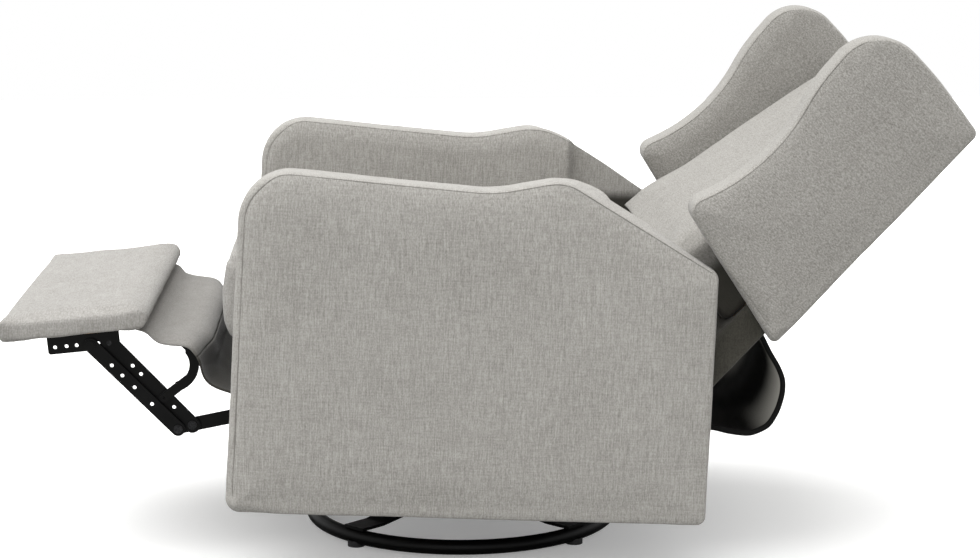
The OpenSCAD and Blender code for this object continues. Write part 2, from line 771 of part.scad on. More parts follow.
// A six-sided wire along a list of points that lie in one level plane
module flat_wire(path, r) {
    m = len(path);
    ring_solid([for (i = [0:m - 1])
        let (t = unit(path[min(i + 1, m - 1)] - path[max(i - 1, 0)]),
            side = [t[1], -t[0], 0])
        [for (k = [0:5]) path[i] + r * (side * cos(k * 60) + [0, 0, sin(k * 60)])]]);
}
module seat_springs() {
    y0 = frame_front_y + frame_board + seam_gap;
    y1 = seat_rear_y - seat_gap * 2 - frame_board - seam_gap;
    pitch = (plate_x - frame_board) * 2 / spring_count;
    n = spring_waves * wave_steps;
    z = seat_z - wire_r * 2;
    // each wire is straight at its ends, where it meets the frame
    color(bright) on_body() for (k = [1:spring_count]) {
        x = (k - (spring_count + 1) / 2) * pitch;
        flat_wire(concat([[x, y0, z]],
            [for (i = [0:n]) [x + pitch / 4 * sin(360 * i / wave_steps),
                y0 + wire_r * 2 + (y1 - y0 - wire_r * 4) * i / n, z]],
            [[x, y1, z]]), wire_r);
    }
}
// Rings of a cushion: [share of the height, how far the sides draw in]
seat_shares = [[0, 1.6], [0.02, 0.6], [0.1, 0.1], [0.3, 0], [0.5, 0.12], [0.7, 0],
    [0.88, 0.15], [0.97, 0.7], [1, 1.6]];
crown_shares = [[0.35, 0.25], [0.7, 0.75], [1, 1]];
seat_draw = 8;
module seat_cushion() {
    h = seat_t - seat_crown;
    inner = arm_inner_x - seat_gap * 20;
    y0 = -seat_front_y;
    y1 = seat_rear_y;
    side = [for (e = seat_shares)
        [for (p = pad_outline(seat_x - seat_draw * e[1],
                y0 + seat_draw * e[1] - seat_swell * sin(180 * e[0]),
                y1 - seat_draw * e[1], seat_draw * 4))
            [p[0], p[1], seat_z + seam_gap + e[0] * (h - seat_fall * (p[1] - y0) / (y1 - y0))]]];
    in0 = seat_draw * 1.6;
    crown = [for (c = crown_shares)
        let (e = in0 + (seat_rear_y - y0) * 0.4 * c[0])
        [for (p = pad_outline(seat_x - e, y0 + e, y1 - e, seat_draw * 4 * (1 - c[0] / 2)))
            [p[0], p[1], seat_z + h - seat_fall * (p[1] - y0) / (y1 - y0) + seat_crown * c[1]]]];
    color(cloth_pale) on_body() ring_solid(concat(side, crown));
}

// Footrest: a board on the brackets, a thin pad and the fabric flap behind it
module on_rest() {
    on_body() translate([0, rest_heel[0], rest_heel[1]]) rotate([rest_slope, 0, 0])
        children();
}
rest_inset = 10;
module footrest_board() {
    hx = rest_w / 2 - rest_inset;
    color(ply) on_rest() translate([-hx, -rest_l + rest_inset, 0])
        cube([hx * 2, rest_l - rest_inset * 2, rest_board_t]);
}
rest_shares = [[0, 0.5], [0.1, 0.1], [0.35, 0], [0.7, 0.05], [0.9, 0.5], [1, 1.4]];
rest_draw = 6;
rest_crown = 5;
module footrest_pad() {
    side = [for (e = rest_shares)
        [for (p = pad_outline(rest_w / 2 - rest_draw * e[1], -rest_l + rest_draw * e[1],
                -rest_draw * e[1], rest_draw * 3))
            [p[0], p[1], rest_t * e[0]]]];
    in0 = rest_draw * 1.4;
    crown = [for (c = crown_shares)
        let (e = in0 + rest_l * 0.4 * c[0])
        [for (p = pad_outline(rest_w / 2 - e, -rest_l + e, -e, rest_draw * 3 * (1 - c[0] / 2)))
            [p[0], p[1], rest_t + rest_crown * c[1]]]];
    color(cloth_pale) on_rest() difference() {
        ring_solid(concat(side, crown));
        translate([-rest_w / 2 + rest_inset - seam_gap, -rest_l + rest_inset - seam_gap, -over])
            cube([rest_w - rest_inset * 2 + seam_gap * 2, rest_l - rest_inset * 2 + seam_gap * 2,
                rest_board_t + seam_gap + over]);
    }
}
// A cloth strip: the points of its section, its thickness, and how it hangs
function thick(path, t) =
    let (m = len(path),
        n = [for (i = [0:m - 1])
            let (d = unit(path[min(i + 1, m - 1)] - path[max(i - 1, 0)])) [-d[1], d[0]]])
    concat([for (i = [0:m - 1]) path[i]], [for (i = [m - 1:-1:0]) path[i] + n[i] * t]);
cloth_t = 2;
flap_path = [[-523, 365.5], [-508, 362], [-494, 352], [-476, 347], [-446, 346], [-429, 334],
    [-421, 314], [-414, 292], [-402, 278], [-379, 270], [-345, 264], [-318, 270], [-304, 292],
    [-303, 332]];
flap_x = rest_w / 2 - rest_inset * 2;
flap_fold = 5;
// How far the folds' wave turns from the middle to an edge, in degrees
fold_turn = 450;
function across_fold(x, i) = flap_fold * sin(fold_turn * abs(x) / flap_x)
    * sin(180 * i / (len(flap_path) - 1));
module footrest_flap() {
    stations = [for (k = [0:12]) -flap_x + flap_x * 2 * k / 12];
    color(cloth_pale) on_body() ring_solid([for (x = stations)
        [for (p = thick([for (i = [len(flap_path) - 1:-1:0]) flap_path[i] + [0, across_fold(x, i)]],
            cloth_t)) [x, p[0], p[1]]]]);
}

// Back: dog-leg brackets, a wooden frame with webbing, the cushion, two wings,
// the outer panel, and the skirt that goes down between the arms
post_x = rear_bar_x + back_bar_t;
post_w = 34;
back_in_x = half_w - wing_t;
frame_d0 = outer_back_t + seam_gap;
frame_d1 = frame_d0 + back_frame_d;
function from_back(s, d) = [heel_y, heel_z] + s * [cos(back_angle), sin(back_angle)]
    + d * [-sin(back_angle), cos(back_angle)];
bracket_top = from_back(-skirt_l * 0.2, frame_d0 + back_frame_d / 2);
bracket_low = from_back(-skirt_l * 0.8, frame_d0 + back_frame_d / 2);
module back_brackets() {
    color(steel) on_body() both_sides() across(rear_bar_x, rear_bar_x + back_bar_t) difference() {
        union() {
            band_2d([recline_at, elbow_at, bracket_low, bracket_top], back_bar_w);
            translate(recline_at) circle(d = back_bar_w + back_bar_t, $fn = 48);
        }
        hole_2d(recline_at, rivet_r * 2 + run_gap);
        for (t = [0.35, 0.65]) hole_2d(recline_at * (1 - t) + elbow_at * t, bar_hole_r);
    }
}
module back_pivot_pins() {
    x0 = plate_x;
    x1 = rear_bar_x + back_bar_t + rest_gap;
    color(bright) on_body() both_sides() {
        pin_x(recline_at, x0, x1, rivet_r * 2);
        pin_x(recline_at, x1, x1 + rivet_head_h, rivet_head_r * 2);
    }
}
module back_frame() {
    s0 = -skirt_l + skirt_t * 2;
    s1 = back_l - outer_back_t * 2;
    // each rail's lower edge and half its length; the lowest lies between the brackets
    rails = [[s0, rear_bar_x], [s1 / 3, post_x], [s1 - post_w, post_x]];
    color(ply) on_back() {
        both_sides() translate([post_x, s0, frame_d0]) cube([post_w, s1 - s0, back_frame_d]);
        for (r = rails) translate([-r[1], r[0], frame_d0]) cube([r[1] * 2, post_w, back_frame_d / 2]);
    }
}
module wing_boards() {
    s1 = back_l - post_w;
    color(ply) on_back() both_sides()
        translate([post_x + post_w, outer_back_t, frame_d0])
            cube([back_in_x + outer_back_t - post_x - post_w, s1 - outer_back_t, back_frame_d]);
}
webbing_t = 2;
module back_webbing() {
    d = frame_d1 - webbing_t;
    color(nylon) on_back() for (k = [0:4]) translate([-post_x, post_w + k * post_w * 2.2, d])
        cube([post_x * 2, post_w * 1.3, webbing_t]);
}
cushion_shares = [[0, 0.9], [0.06, 0.3], [0.25, 0], [0.5, 0.1], [0.75, 0], [0.9, 0.3],
    [0.97, 0.9], [1, 1.7]];
back_draw = 8;
back_crown = 8;
cushion_s0 = -30;
module back_cushion() {
    s0 = cushion_s0;
    s1 = back_l - outer_back_t / 2;
    hx = back_in_x - seam_gap;
    base = frame_d1 + seam_gap;
    side = [for (e = cushion_shares)
        [for (p = pad_outline(hx - back_draw * e[1], s0 + back_draw * e[1],
                s1 - back_draw * e[1], back_draw * 3))
            let (face = lumbar_d + (head_d - lumbar_d) * (p[1] - s0) / (s1 - s0))
            [p[0], p[1], base + e[0] * (face - back_crown - base)]]];
    in0 = back_draw * 1.7;
    crown = [for (c = crown_shares)
        let (e = in0 + (s1 - s0) * 0.4 * c[0])
        [for (p = pad_outline(hx - e, s0 + e, s1 - e, back_draw * 3 * (1 - c[0] / 2)))
            let (face = lumbar_d + (head_d - lumbar_d) * (p[1] - s0) / (s1 - s0))
            [p[0], p[1], face - back_crown + back_crown * c[1]]]];
    color(cloth_pale) on_back() ring_solid(concat(side, crown));
}
// The wing's outline: s up the back and d forwards
wing_heel_r = 18;
wing_top_r = 28;
wing_brow_r = 52;
wing_cheek_r = 120;
wing_waist_r = 140;
wing_nose_r = 22;
wing_nose_s = 63;
wing_corners = [[0, 0, wing_heel_r], [back_l, 0, wing_top_r],
    [back_l * 1.036, wing_top_d, wing_brow_r], [back_l * 0.74, wing_top_d, wing_cheek_r],
    [back_l * 0.44, wing_nose_d * 0.81, wing_waist_r], [wing_nose_s, wing_nose_d, wing_nose_r]];
wing_path = rounded(wing_corners);
module wing() {
    difference() {
        padded_slab(wing_path, back_in_x, half_w, wing_edge_r);
        translate([back_in_x - over, outer_back_t - seam_gap, frame_d0 - seam_gap])
            cube([outer_back_t + seam_gap + over, back_l - post_w - outer_back_t + seam_gap * 2,
                back_frame_d + seam_gap * 2]);
    }
}
module left_wing() {
    color(cloth) on_back() wing();
}
module right_wing() {
    color(cloth) on_back() mirror([1, 0, 0]) wing();
}
module outer_back() {
    hx = back_in_x - seam_gap;
    color(cloth) on_back() translate([-hx, seam_gap, 0])
        cube([hx * 2, back_l - outer_back_t, outer_back_t]);
}
// The skirt is a sleeve round the foot of the frame, set in from the outer back
skirt_t = 4;
module back_skirt() {
    w = skirt_t;
    d0 = frame_d0 - seam_gap - w;
    deep = frame_d1 + seam_gap + w - d0;
    color(cloth) on_back() translate([-skirt_x, -skirt_l, d0]) difference() {
        cube([skirt_x * 2, skirt_l - seam_gap, deep]);
        translate([w, w, w]) cube([skirt_x * 2 - w * 2, skirt_l + over, deep - w * 2]);
        // the cushion covers the upper part of the front
        translate([-over, skirt_l + cushion_s0 - seam_gap, frame_d1 + seam_gap - d0])
            cube([skirt_x * 2 + over * 2, skirt_l, deep]);
        // slots in the lower edge let the brackets through
        for (x = [-post_x, rear_bar_x]) translate([skirt_x + x - seam_gap, -over, w])
            cube([back_bar_t + seam_gap * 2, w + over * 2, deep - w * 2]);
    }
}
pouch_in = 18;
// Black dust cloth from the heel of the back to the rear cross tube
pouch_path = [[437.6, 369.4], [443.1, 375.8], [456, 356], [470, 336], [481, 314], [482, 292],
    [476, 266], [462, 240], [433, 225], [402, 228], [372, 236], [330, 232], [280, 201],
    [240, 158], [224.4, 132], [224.4, 104]];
pouch_x = back_in_x - pouch_in;
pouch_sag = 9;
function pouch_dip(x, i) = pouch_sag * (1 - pow(x / pouch_x, 4)) * sin(180 * i / (len(pouch_path) - 1));
module dust_pouch() {
    stations = [for (k = [0:10]) -pouch_x + pouch_x * 2 * k / 10];
    color(black_cloth) on_body() ring_solid([for (x = stations)
        [for (p = thick([for (i = [0:len(pouch_path) - 1]) pouch_path[i] - [0, pouch_dip(x, i)]],
            cloth_t)) [x, p[0], p[1]]]]);
}

base_ring();
base_straps();
base_hub();
floor_pads();
bearing_ring();
turning_plate();
glide_frame();
upper_glide_pins();
front_glide_links();
front_link_bushes();
rear_glide_links();
rear_link_bushes();
carriage_rails();
cross_tubes();
lower_glide_pins();
side_plates();
arm_brackets();
left_arm_board();
right_arm_board();
left_arm();
right_arm();
seat_frame();
seat_springs();
seat_cushion();
release_cup();
lever_pin();
release_lever();
cross_shaft();
rear_footrest_bars();
knee_rivets();
front_footrest_bars();
flap_hooks();
stay_bars();
footrest_brackets();
bracket_rivets();
footrest_board();
footrest_pad();
footrest_flap();
back_brackets();
back_pivot_pins();
back_frame();
wing_boards();
back_webbing();
back_cushion();
left_wing();
right_wing();
outer_back();
back_skirt();
dust_pouch();
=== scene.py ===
import bpy, math
import numpy as np
from mathutils import Matrix, Vector, noise


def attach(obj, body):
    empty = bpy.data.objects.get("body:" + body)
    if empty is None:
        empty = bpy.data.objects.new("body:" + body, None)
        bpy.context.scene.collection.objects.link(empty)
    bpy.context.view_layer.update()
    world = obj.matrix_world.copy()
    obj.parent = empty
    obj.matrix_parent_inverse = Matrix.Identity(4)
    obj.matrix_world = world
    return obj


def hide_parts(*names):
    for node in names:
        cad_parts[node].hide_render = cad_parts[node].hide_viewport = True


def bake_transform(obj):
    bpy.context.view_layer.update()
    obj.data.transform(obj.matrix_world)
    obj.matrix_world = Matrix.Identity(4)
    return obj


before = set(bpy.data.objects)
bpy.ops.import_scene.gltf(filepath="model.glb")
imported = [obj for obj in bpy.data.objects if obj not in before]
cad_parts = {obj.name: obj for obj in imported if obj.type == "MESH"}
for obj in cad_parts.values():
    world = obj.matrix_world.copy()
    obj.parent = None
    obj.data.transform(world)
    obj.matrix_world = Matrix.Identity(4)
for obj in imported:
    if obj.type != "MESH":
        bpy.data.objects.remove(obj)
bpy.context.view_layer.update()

# Studio: a pale seamless floor, a broad soft light overhead and a weak one from the
# front, and the camera at the photograph's angle. The origin of the chair's body
# lies 19.5 mm behind the swivel axis, so the camera is shifted by the same amount.
MIDDLE = 0.0195


def srgb(text):
    parts = [int(text[i:i + 2], 16) / 255 for i in (1, 3, 5)]
    return tuple(c / 12.92 if c <= 0.04045 else ((c + 0.055) / 1.055) ** 2.4 for c in parts) + (1,)


def add_node(tree, kind, settings=None, **links):
    """Adds a node; settings go on it or on its sockets, and links join sockets to its inputs."""
    made = tree.nodes.new(kind)
    for key, value in (settings or {}).items():
        if isinstance(key, int) or key in made.inputs:
            made.inputs[key].default_value = value
        else:
            setattr(made, key, value)
    for key, source in links.items():
        target = made.inputs[int(key[1:])] if key[1:].isdigit() else made.inputs[key.replace("_", " ")]
        tree.links.new(source, target)
    return made


def new_material(name):
    material = bpy.data.materials.new(name)
    material.use_nodes = True
    tree = material.node_tree
    return material, tree, tree.nodes["Principled BSDF"]


def aim(thing, place, target):
    thing.location = place
    thing.rotation_euler = (Vector(target) - Vector(place)).to_track_quat("-Z", "Y").to_euler()


eye = Vector((4.006, -0.123 - MIDDLE, 1.110))
bpy.ops.object.camera_add()
camera = bpy.context.object
aim(camera, eye, eye + Vector((-0.9840, 0.0419, -0.1730)))
camera.data.lens = 89.7
camera.data.sensor_width = 36
bpy.context.scene.camera = camera
bpy.context.scene.view_settings.view_transform = "Standard"

bpy.ops.mesh.primitive_plane_add(size=14, location=(0, 0, 0))
floor = bpy.context.object
floor.name = "studio_floor"
material, tree, skin = new_material("white painted studio floor")
# like a light table it is lit from below a little, and it throws little light back
FLOOR_GLOW, SKY, WHITE = 0.23, 0.90, (1, 1, 1, 1)
rays = add_node(tree, "ShaderNodeLightPath")
tint = add_node(tree, "ShaderNodeMix", {"data_type": "RGBA", 6: srgb("#A0A09F"), 7: srgb("#F4F4F3")},
                _0=rays.outputs["Is Camera Ray"])
tree.links.new(tint.outputs[2], skin.inputs["Base Color"])
skin.inputs["Emission Color"].default_value = WHITE
glow = add_node(tree, "ShaderNodeMath", {"operation": "MULTIPLY", 1: FLOOR_GLOW},
                _0=rays.outputs["Is Camera Ray"])
tree.links.new(glow.outputs[0], skin.inputs["Emission Strength"])
skin.inputs["Roughness"].default_value = 0.9
skin.inputs["Specular IOR Level"].default_value = 0.1
floor.data.materials.append(material)

world = bpy.data.worlds.new("studio")
bpy.context.scene.world = world
world.use_nodes = True
tree = world.node_tree
rays = add_node(tree, "ShaderNodeLightPath")
seen = add_node(tree, "ShaderNodeMath", {"operation": "MAXIMUM"}, _0=rays.outputs["Is Camera Ray"],
                _1=rays.outputs["Is Glossy Ray"])
seen = add_node(tree, "ShaderNodeMath", {"operation": "MAXIMUM"}, _0=seen.outputs[0],
                _1=rays.outputs["Is Transmission Ray"])
dim = tree.nodes["Background"]
dim.inputs["Color"].default_value = WHITE
dim.inputs["Strength"].default_value = SKY
bright = add_node(tree, "ShaderNodeBackground", {"Color": WHITE, "Strength": 1.0})
mixed = add_node(tree, "ShaderNodeMixShader", None, _0=seen.outputs[0], _1=dim.outputs[0],
                 _2=bright.outputs[0])
tree.links.new(mixed.outputs[0], tree.nodes["World Output"].inputs["Surface"])

# a broad overhead light, as even over the floor as a studio ceiling, and a weak front one
for place, wide, power in (((0.1, -0.9, 2.8), 70, 3.1), ((2.0, -0.6, 2.2), 50, 0.5)):
    bpy.ops.object.light_add(type="SUN")
    lamp = bpy.context.object
    lamp.data.angle = math.radians(wide)
    lamp.data.energy = power
    aim(lamp, place, (0, 0, 0))

# Steelwork: floor ring, straps, turntable, glide, side plates, footrest bars and brackets.
# Pressed, bent and welded mild steel, powder coated black in satin, so it shows a soft
# broad highlight, a fine orange peel, and a little dust in the corners.
def dye(tree, source, dark, pale, low=0.0, high=1.0):
    """Colours the surface from dark to pale as the source's value goes from low to high."""
    tint = add_node(tree, "ShaderNodeValToRGB", None, _0=source.outputs[0])
    for stop, colour, place in zip(tint.color_ramp.elements, (dark, pale), (low, high)):
        stop.color, stop.position = srgb(colour), place
    tree.links.new(tint.outputs[0], tree.nodes["Principled BSDF"].inputs["Base Color"])


def relief(tree, source, strength, depth):
    """Gives the surface a fine relief from the source's value."""
    bump = add_node(tree, "ShaderNodeBump", {"Strength": strength, "Distance": depth},
                    Height=source.outputs[0])
    tree.links.new(bump.outputs[0], tree.nodes["Principled BSDF"].inputs["Normal"])


def finish_nodes(material, slot, *names):
    for name in names:
        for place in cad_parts[name].material_slots:
            place.link = "OBJECT"
            place.material = material


material, tree, skin = new_material("satin black powder coat on steel")
where = add_node(tree, "ShaderNodeTexCoord")
peel = add_node(tree, "ShaderNodeTexNoise", {"Scale": 900.0, "Detail": 2.0}, Vector=where.outputs["Object"])
patches = add_node(tree, "ShaderNodeTexNoise", {"Scale": 22.0, "Detail": 4.0}, Vector=where.outputs["Object"])
dye(tree, patches, "#030303", "#0A0A0A", 0.35, 0.75)
relief(tree, peel, 0.12, 0.0004)
rough = add_node(tree, "ShaderNodeMapRange", {3: 0.34, 4: 0.5}, _0=patches.outputs[0])
tree.links.new(rough.outputs[0], skin.inputs["Roughness"])
skin.inputs["Specular IOR Level"].default_value = 0.16
finish_nodes(material, "black_steel", "base_ring", "base_straps", "base_hub", "turning_plate",
             "glide_frame", "front_glide_links", "rear_glide_links", "carriage_rails", "cross_tubes",
             "side_plates", "arm_brackets", "cross_shaft", "rear_footrest_bars", "front_footrest_bars",
             "flap_hooks", "stay_bars", "footrest_brackets", "back_brackets")

# Pins, rivets and spring wire: zinc plated steel, turned or drawn, which keeps a bluish
# grey colour with fine turning lines and dull specks.
material, tree, skin = new_material("zinc plated steel")
where = add_node(tree, "ShaderNodeTexCoord")
specks = add_node(tree, "ShaderNodeTexNoise", {"Scale": 260.0, "Detail": 5.0}, Vector=where.outputs["Object"])
dye(tree, specks, "#6C6D70", "#A5A7AA")
rough = add_node(tree, "ShaderNodeMapRange", {3: 0.28, 4: 0.46}, _0=specks.outputs[0])
tree.links.new(rough.outputs[0], skin.inputs["Roughness"])
skin.inputs["Metallic"].default_value = 1.0
finish_nodes(material, "zinc_steel", "upper_glide_pins", "lower_glide_pins", "lever_pin", "seat_springs",
             "back_pivot_pins")

# Rivets of the footrest mechanism: the same steel, blackened with the bars they hold, and
# rubbed a little brighter on their heads.
material, tree, skin = new_material("blackened steel rivet")
where = add_node(tree, "ShaderNodeTexCoord")
rub = add_node(tree, "ShaderNodeTexNoise", {"Scale": 320.0, "Detail": 3.0}, Vector=where.outputs["Object"])
dye(tree, rub, "#202021", "#4A4A4C", 0.4)
skin.inputs["Metallic"].default_value = 0.8
skin.inputs["Roughness"].default_value = 0.38
finish_nodes(material, "zinc_steel", "knee_rivets", "bracket_rivets")

# Pads, bushes, bearing ring, and the release cup and lever: injection moulded nylon, black,
# with a fine spark eroded grain that scatters the light.
material, tree, skin = new_material("black moulded nylon")
where = add_node(tree, "ShaderNodeTexCoord")
grain = add_node(tree, "ShaderNodeTexNoise", {"Scale": 1400.0, "Detail": 3.0}, Vector=where.outputs["Object"])
wear = add_node(tree, "ShaderNodeTexNoise", {"Scale": 40.0, "Detail": 4.0}, Vector=where.outputs["Object"])
dye(tree, wear, "#1B1B1C", "#2C2C2D")
relief(tree, grain, 0.35, 0.0003)
skin.inputs["Roughness"].default_value = 0.55
finish_nodes(material, "black_nylon", "floor_pads", "bearing_ring", "front_link_bushes",
             "rear_link_bushes", "release_cup", "release_lever")

# Arm panels, seat frame, back frame, wing boards and footrest board: birch plywood and
# softwood, sawn and left raw, with long grain and pale plies.
material, tree, skin = new_material("raw birch plywood")
where = add_node(tree, "ShaderNodeTexCoord")
long_way = add_node(tree, "ShaderNodeMapping", {"Scale": (40.0, 6.0, 40.0)}, Vector=where.outputs["Object"])
fibre = add_node(tree, "ShaderNodeTexNoise", {"Scale": 6.0, "Detail": 7.0, "Distortion": 0.6},
                 Vector=long_way.outputs[0])
dye(tree, fibre, "#B98F5E", "#DDBE90", 0.3, 0.7)
relief(tree, fibre, 0.2, 0.0005)
skin.inputs["Roughness"].default_value = 0.72
finish_nodes(material, "plywood", "left_arm_board", "right_arm_board", "seat_frame", "footrest_board",
             "back_frame", "wing_boards")

# Back webbing: woven jute and rubber bands, tan with darker cross threads.
material, tree, skin = new_material("woven jute webbing")
where = add_node(tree, "ShaderNodeTexCoord")
threads = add_node(tree, "ShaderNodeTexWave", {"Scale": 120.0, "Distortion": 1.0, "bands_direction": "X"},
                   Vector=where.outputs["Object"])
dye(tree, threads, "#8C7C60", "#C0B08F")
relief(tree, threads, 0.5, 0.0006)
skin.inputs["Roughness"].default_value = 0.9
finish_nodes(material, "jute_webbing", "back_webbing")

# Arms: foam and fibre over a plywood panel, under a tight linen look cover. The cover is
# boxed: a band runs round the edge, sewn to the outer and the inner panel with a topstitched
# seam. The inner pad ends ahead of the back, where the arm is thinner.
body_place = Matrix.Translation((0, -MIDDLE, 0)) @ Matrix.Rotation(math.radians(-2.3), 4, "X")
COVER_OUT, ARM_THICK, ARM_THIN, ARM_LOW, ARM_REAR = 0.398, 0.072, 0.042, 0.0395, 0.359
arm_corners = [(-0.378, 0.100, 0.022), (ARM_REAR, 0.100, 0.014), (ARM_REAR, 0.493, 0.020),
               (0.120, 0.630, 0.070), (0.012, 0.607, 0.210), (-0.367, 0.632, 0.078)]
arm_ends, arm_grid = (0, 1, 2, 5), (150, 110)


def inset_outline(corners, inset, steps=24):
    """Arcs of the rounded outline moved inwards, one list of points for each corner."""
    points = np.array([c[:2] for c in corners], float)
    arcs = []
    for i, corner in enumerate(corners):
        p, q, s = points[i - 1], points[i], points[(i + 1) % len(corners)]
        d0, d1 = (q - p) / np.linalg.norm(q - p), (s - q) / np.linalg.norm(s - q)
        n0, n1 = np.array([-d0[1], d0[0]]), np.array([-d1[1], d1[0]])
        turn = math.atan2(d0[0] * d1[1] - d0[1] * d1[0], float(d0 @ d1))
        tip = q + (n0 + n1) * inset / (1 + n0 @ n1)
        radius = max(corner[2] - inset, 0.002) if turn > 0 else corner[2] + inset
        start = tip - d0 * radius * math.tan(abs(turn) / 2)
        centre = start + n0 * radius * (1 if turn > 0 else -1)
        ray = start - centre
        arcs.append([centre + np.array([ray[0] * math.cos(a) - ray[1] * math.sin(a),
                                        ray[0] * math.sin(a) + ray[1] * math.cos(a)])
                     for a in (turn * k / steps for k in range(steps + 1))])
    return arcs


def four_sides(corners, inset, ends, counts):
    """The outline as four lists of points, cut at the middle of the four corners in ends."""
    arcs = inset_outline(corners, inset)
    sides = []
    for k in range(4):
        a, b = ends[k], ends[(k + 1) % 4]
        run = list(arcs[a][len(arcs[a]) // 2:])
        i = (a + 1) % len(corners)
        while i != b:
            run += arcs[i]
            i = (i + 1) % len(corners)
        run += arcs[b][:len(arcs[b]) // 2 + 1]
        run = np.array(run)
        along = np.concatenate([[0], np.cumsum(np.linalg.norm(np.diff(run, axis=0), axis=1))])
        t = np.linspace(0, 1, counts[k % 2])
        t = (0.62 * t + 0.38 * (0.5 - 0.5 * np.cos(math.pi * t))) * along[-1]
        sides.append(np.stack([np.interp(t, along, run[:, c]) for c in (0, 1)], axis=1))
    return sides


# Edge of a boxed cover: (distance in from the outline, depth below the face), in mm. The
# face is pulled into the seam 10 mm in, and the band swells again outside it. Where the
# cover isn't sewn, it is drawn round the edge in a plain arc.
SEWN_EDGE = [(30, 0), (26, 0.8), (22, 1.9), (18, 3.3), (14.5, 4.8), (12.2, 6.0), (10.9, 6.9), (10.3, 7.4),
             (9.7, 7.4), (9.2, 7.1), (8.3, 7.2), (7.0, 7.7), (5.4, 8.7), (3.8, 10.1), (2.4, 11.8),
             (1.3, 13.8), (0.5, 15.8), (0.1, 17.2), (0, 18.5)]
ARC, SEAM_DEPTH, CROWN = 16, 0.0072, 0.17  # CROWN: how steeply the face rises inside its edge


def plain_depth(inset):
    arc = ARC - math.sqrt(max(ARC ** 2 - (ARC - inset) ** 2, 0)) if inset < ARC else 0
    return arc + 0.10 * (30 - inset)


def smooth_step(value, low, high):
    t = min(max((value - low) / (high - low), 0), 1)
    return t * t * (3 - 2 * t)


def edge_loop(corners, ends, counts, inset, seam_in):
    """The outline moved in by inset, where seam_in(a, b) says how far in the seam lies."""
    def moved(e):
        return np.concatenate([s[:-1] for s in four_sides(corners, e, ends, counts)])

    def squeezed(seam):
        return inset * seam / 0.010 if inset < 0.010 else seam + (inset - 0.010) * (0.030 - seam) / 0.020

    nearest, furthest = 0.004, 0.0105
    wide, tight = moved(squeezed(furthest)), moved(squeezed(nearest))
    share = np.array([smooth_step(seam_in(a, b), nearest, furthest) for a, b in wide])[:, None]
    return tight + (wide - tight) * share


def boxed_cover(name, corners, ends, counts, face, thickness, seam_in, sewn, puff=0.005):
    """A padded slab. Its outline lies in two axes and its thickness in the third: face is
    the place of the outer face, thickness(a, b) how far behind it the other face lies, and
    sewn(a, b) is 1 where the edge has a seam and 0 where the cover goes round it."""
    n, m = counts
    near, far = [], []
    for inset, depth in SEWN_EDGE:
        run = edge_loop(corners, ends, counts, inset / 1000, seam_in)
        share = np.array([sewn(a, b) for a, b in run])
        drop = (share * depth + (1 - share) * (plain_depth(inset) if inset else 18.5)) / 1000
        near.append(np.column_stack([face - drop, run]))
        # where only a board lies behind it, the inner side is turned in almost square
        thick = np.array([thickness(*p) for p in run])
        square = np.array([0.2 + 0.8 * smooth_step(k, 0.042, 0.068) for k in thick])
        back = face - thick + drop * square
        far.append(np.column_stack([np.minimum(back, face - 0.018), run]))
    loops = near + far[::-1]
    size = len(loops[0])
    points = [tuple(p) for loop in loops for p in loop]
    faces = []
    for k in range(len(loops) - 1):
        for i in range(size):
            j = (i + 1) % size
            faces.append((k * size + i, (k + 1) * size + i, (k + 1) * size + j, k * size + j))
    for loop, is_near in ((0, True), (len(loops) - 1, False)):
        base = loop * size
        ring = np.array(loops[loop])[:, 1:]
        low, right = ring[:n], ring[n - 1:n + m - 1]
        top = ring[n + m - 2:2 * n + m - 2][::-1]
        left = np.concatenate([ring[2 * n + m - 3:], ring[:1]])[::-1]
        index = np.zeros((m, n), int)
        index[0, :] = base + np.arange(n)
        index[:, -1] = base + np.arange(n - 1, n + m - 1)
        index[-1, ::-1] = base + np.arange(n + m - 2, 2 * n + m - 2)
        index[1:-1, 0] = base + np.arange(2 * n + m - 2, 2 * n + 2 * m - 4)[::-1]
        for r in range(1, m - 1):
            v = r / (m - 1)
            for c in range(1, n - 1):
                u = c / (n - 1)
                p = ((1 - v) * low[c] + v * top[c] + (1 - u) * left[r] + u * right[r]
                     - (1 - u) * (1 - v) * low[0] - u * (1 - v) * low[-1]
                     - (1 - u) * v * top[0] - u * v * top[-1])
                swell = puff * (1 - math.exp(-np.linalg.norm(ring - p, axis=1).min() * CROWN / puff))
                x = face + swell if is_near else face - thickness(p[0], p[1]) - swell * 0.4
                index[r, c] = len(points)
                points.append((x, p[0], p[1]))
        for r in range(m - 1):
            for c in range(n - 1):
                quad = (index[r, c], index[r, c + 1], index[r + 1, c + 1], index[r + 1, c])
                faces.append(tuple(int(q) for q in (quad if is_near else quad[::-1])))
    mesh = bpy.data.meshes.new(name)
    mesh.from_pydata(points, [], faces)
    mesh.validate()
    piece = bpy.data.objects.new(name, mesh)
    bpy.context.collection.objects.link(piece)
    return piece


def pick(piece):
    """Selects the piece alone and makes it active, as the operators want it."""
    bpy.ops.object.select_all(action="DESELECT")
    piece.select_set(True)
    bpy.context.view_layer.objects.active = piece


def seam_path(corners, ends, counts, seam_in, sewn):
    """The points of the seam's valley, where the edge is sewn."""
    ring = edge_loop(corners, ends, counts, 0.010, seam_in)
    seam = [(COVER_OUT - SEAM_DEPTH, a, b) for a, b in ring if sewn(a, b) > 0.5]
    first = max(range(len(seam)), key=lambda i: math.dist(seam[i], seam[i - 1]))
    return seam[first:] + seam[:first]


def soften(piece, coarse, fine, seed):
    """Slow waves in the foam, and small ones where the cover is pulled tight."""
    mesh = piece.data
    normals = [v.normal.copy() for v in mesh.vertices]
    for v, n in zip(mesh.vertices, normals):
        p = v.co + Vector((seed, seed * 0.7, 0))
        v.co += n * (coarse * noise.noise(p * 9) + fine * noise.noise(p * 42))


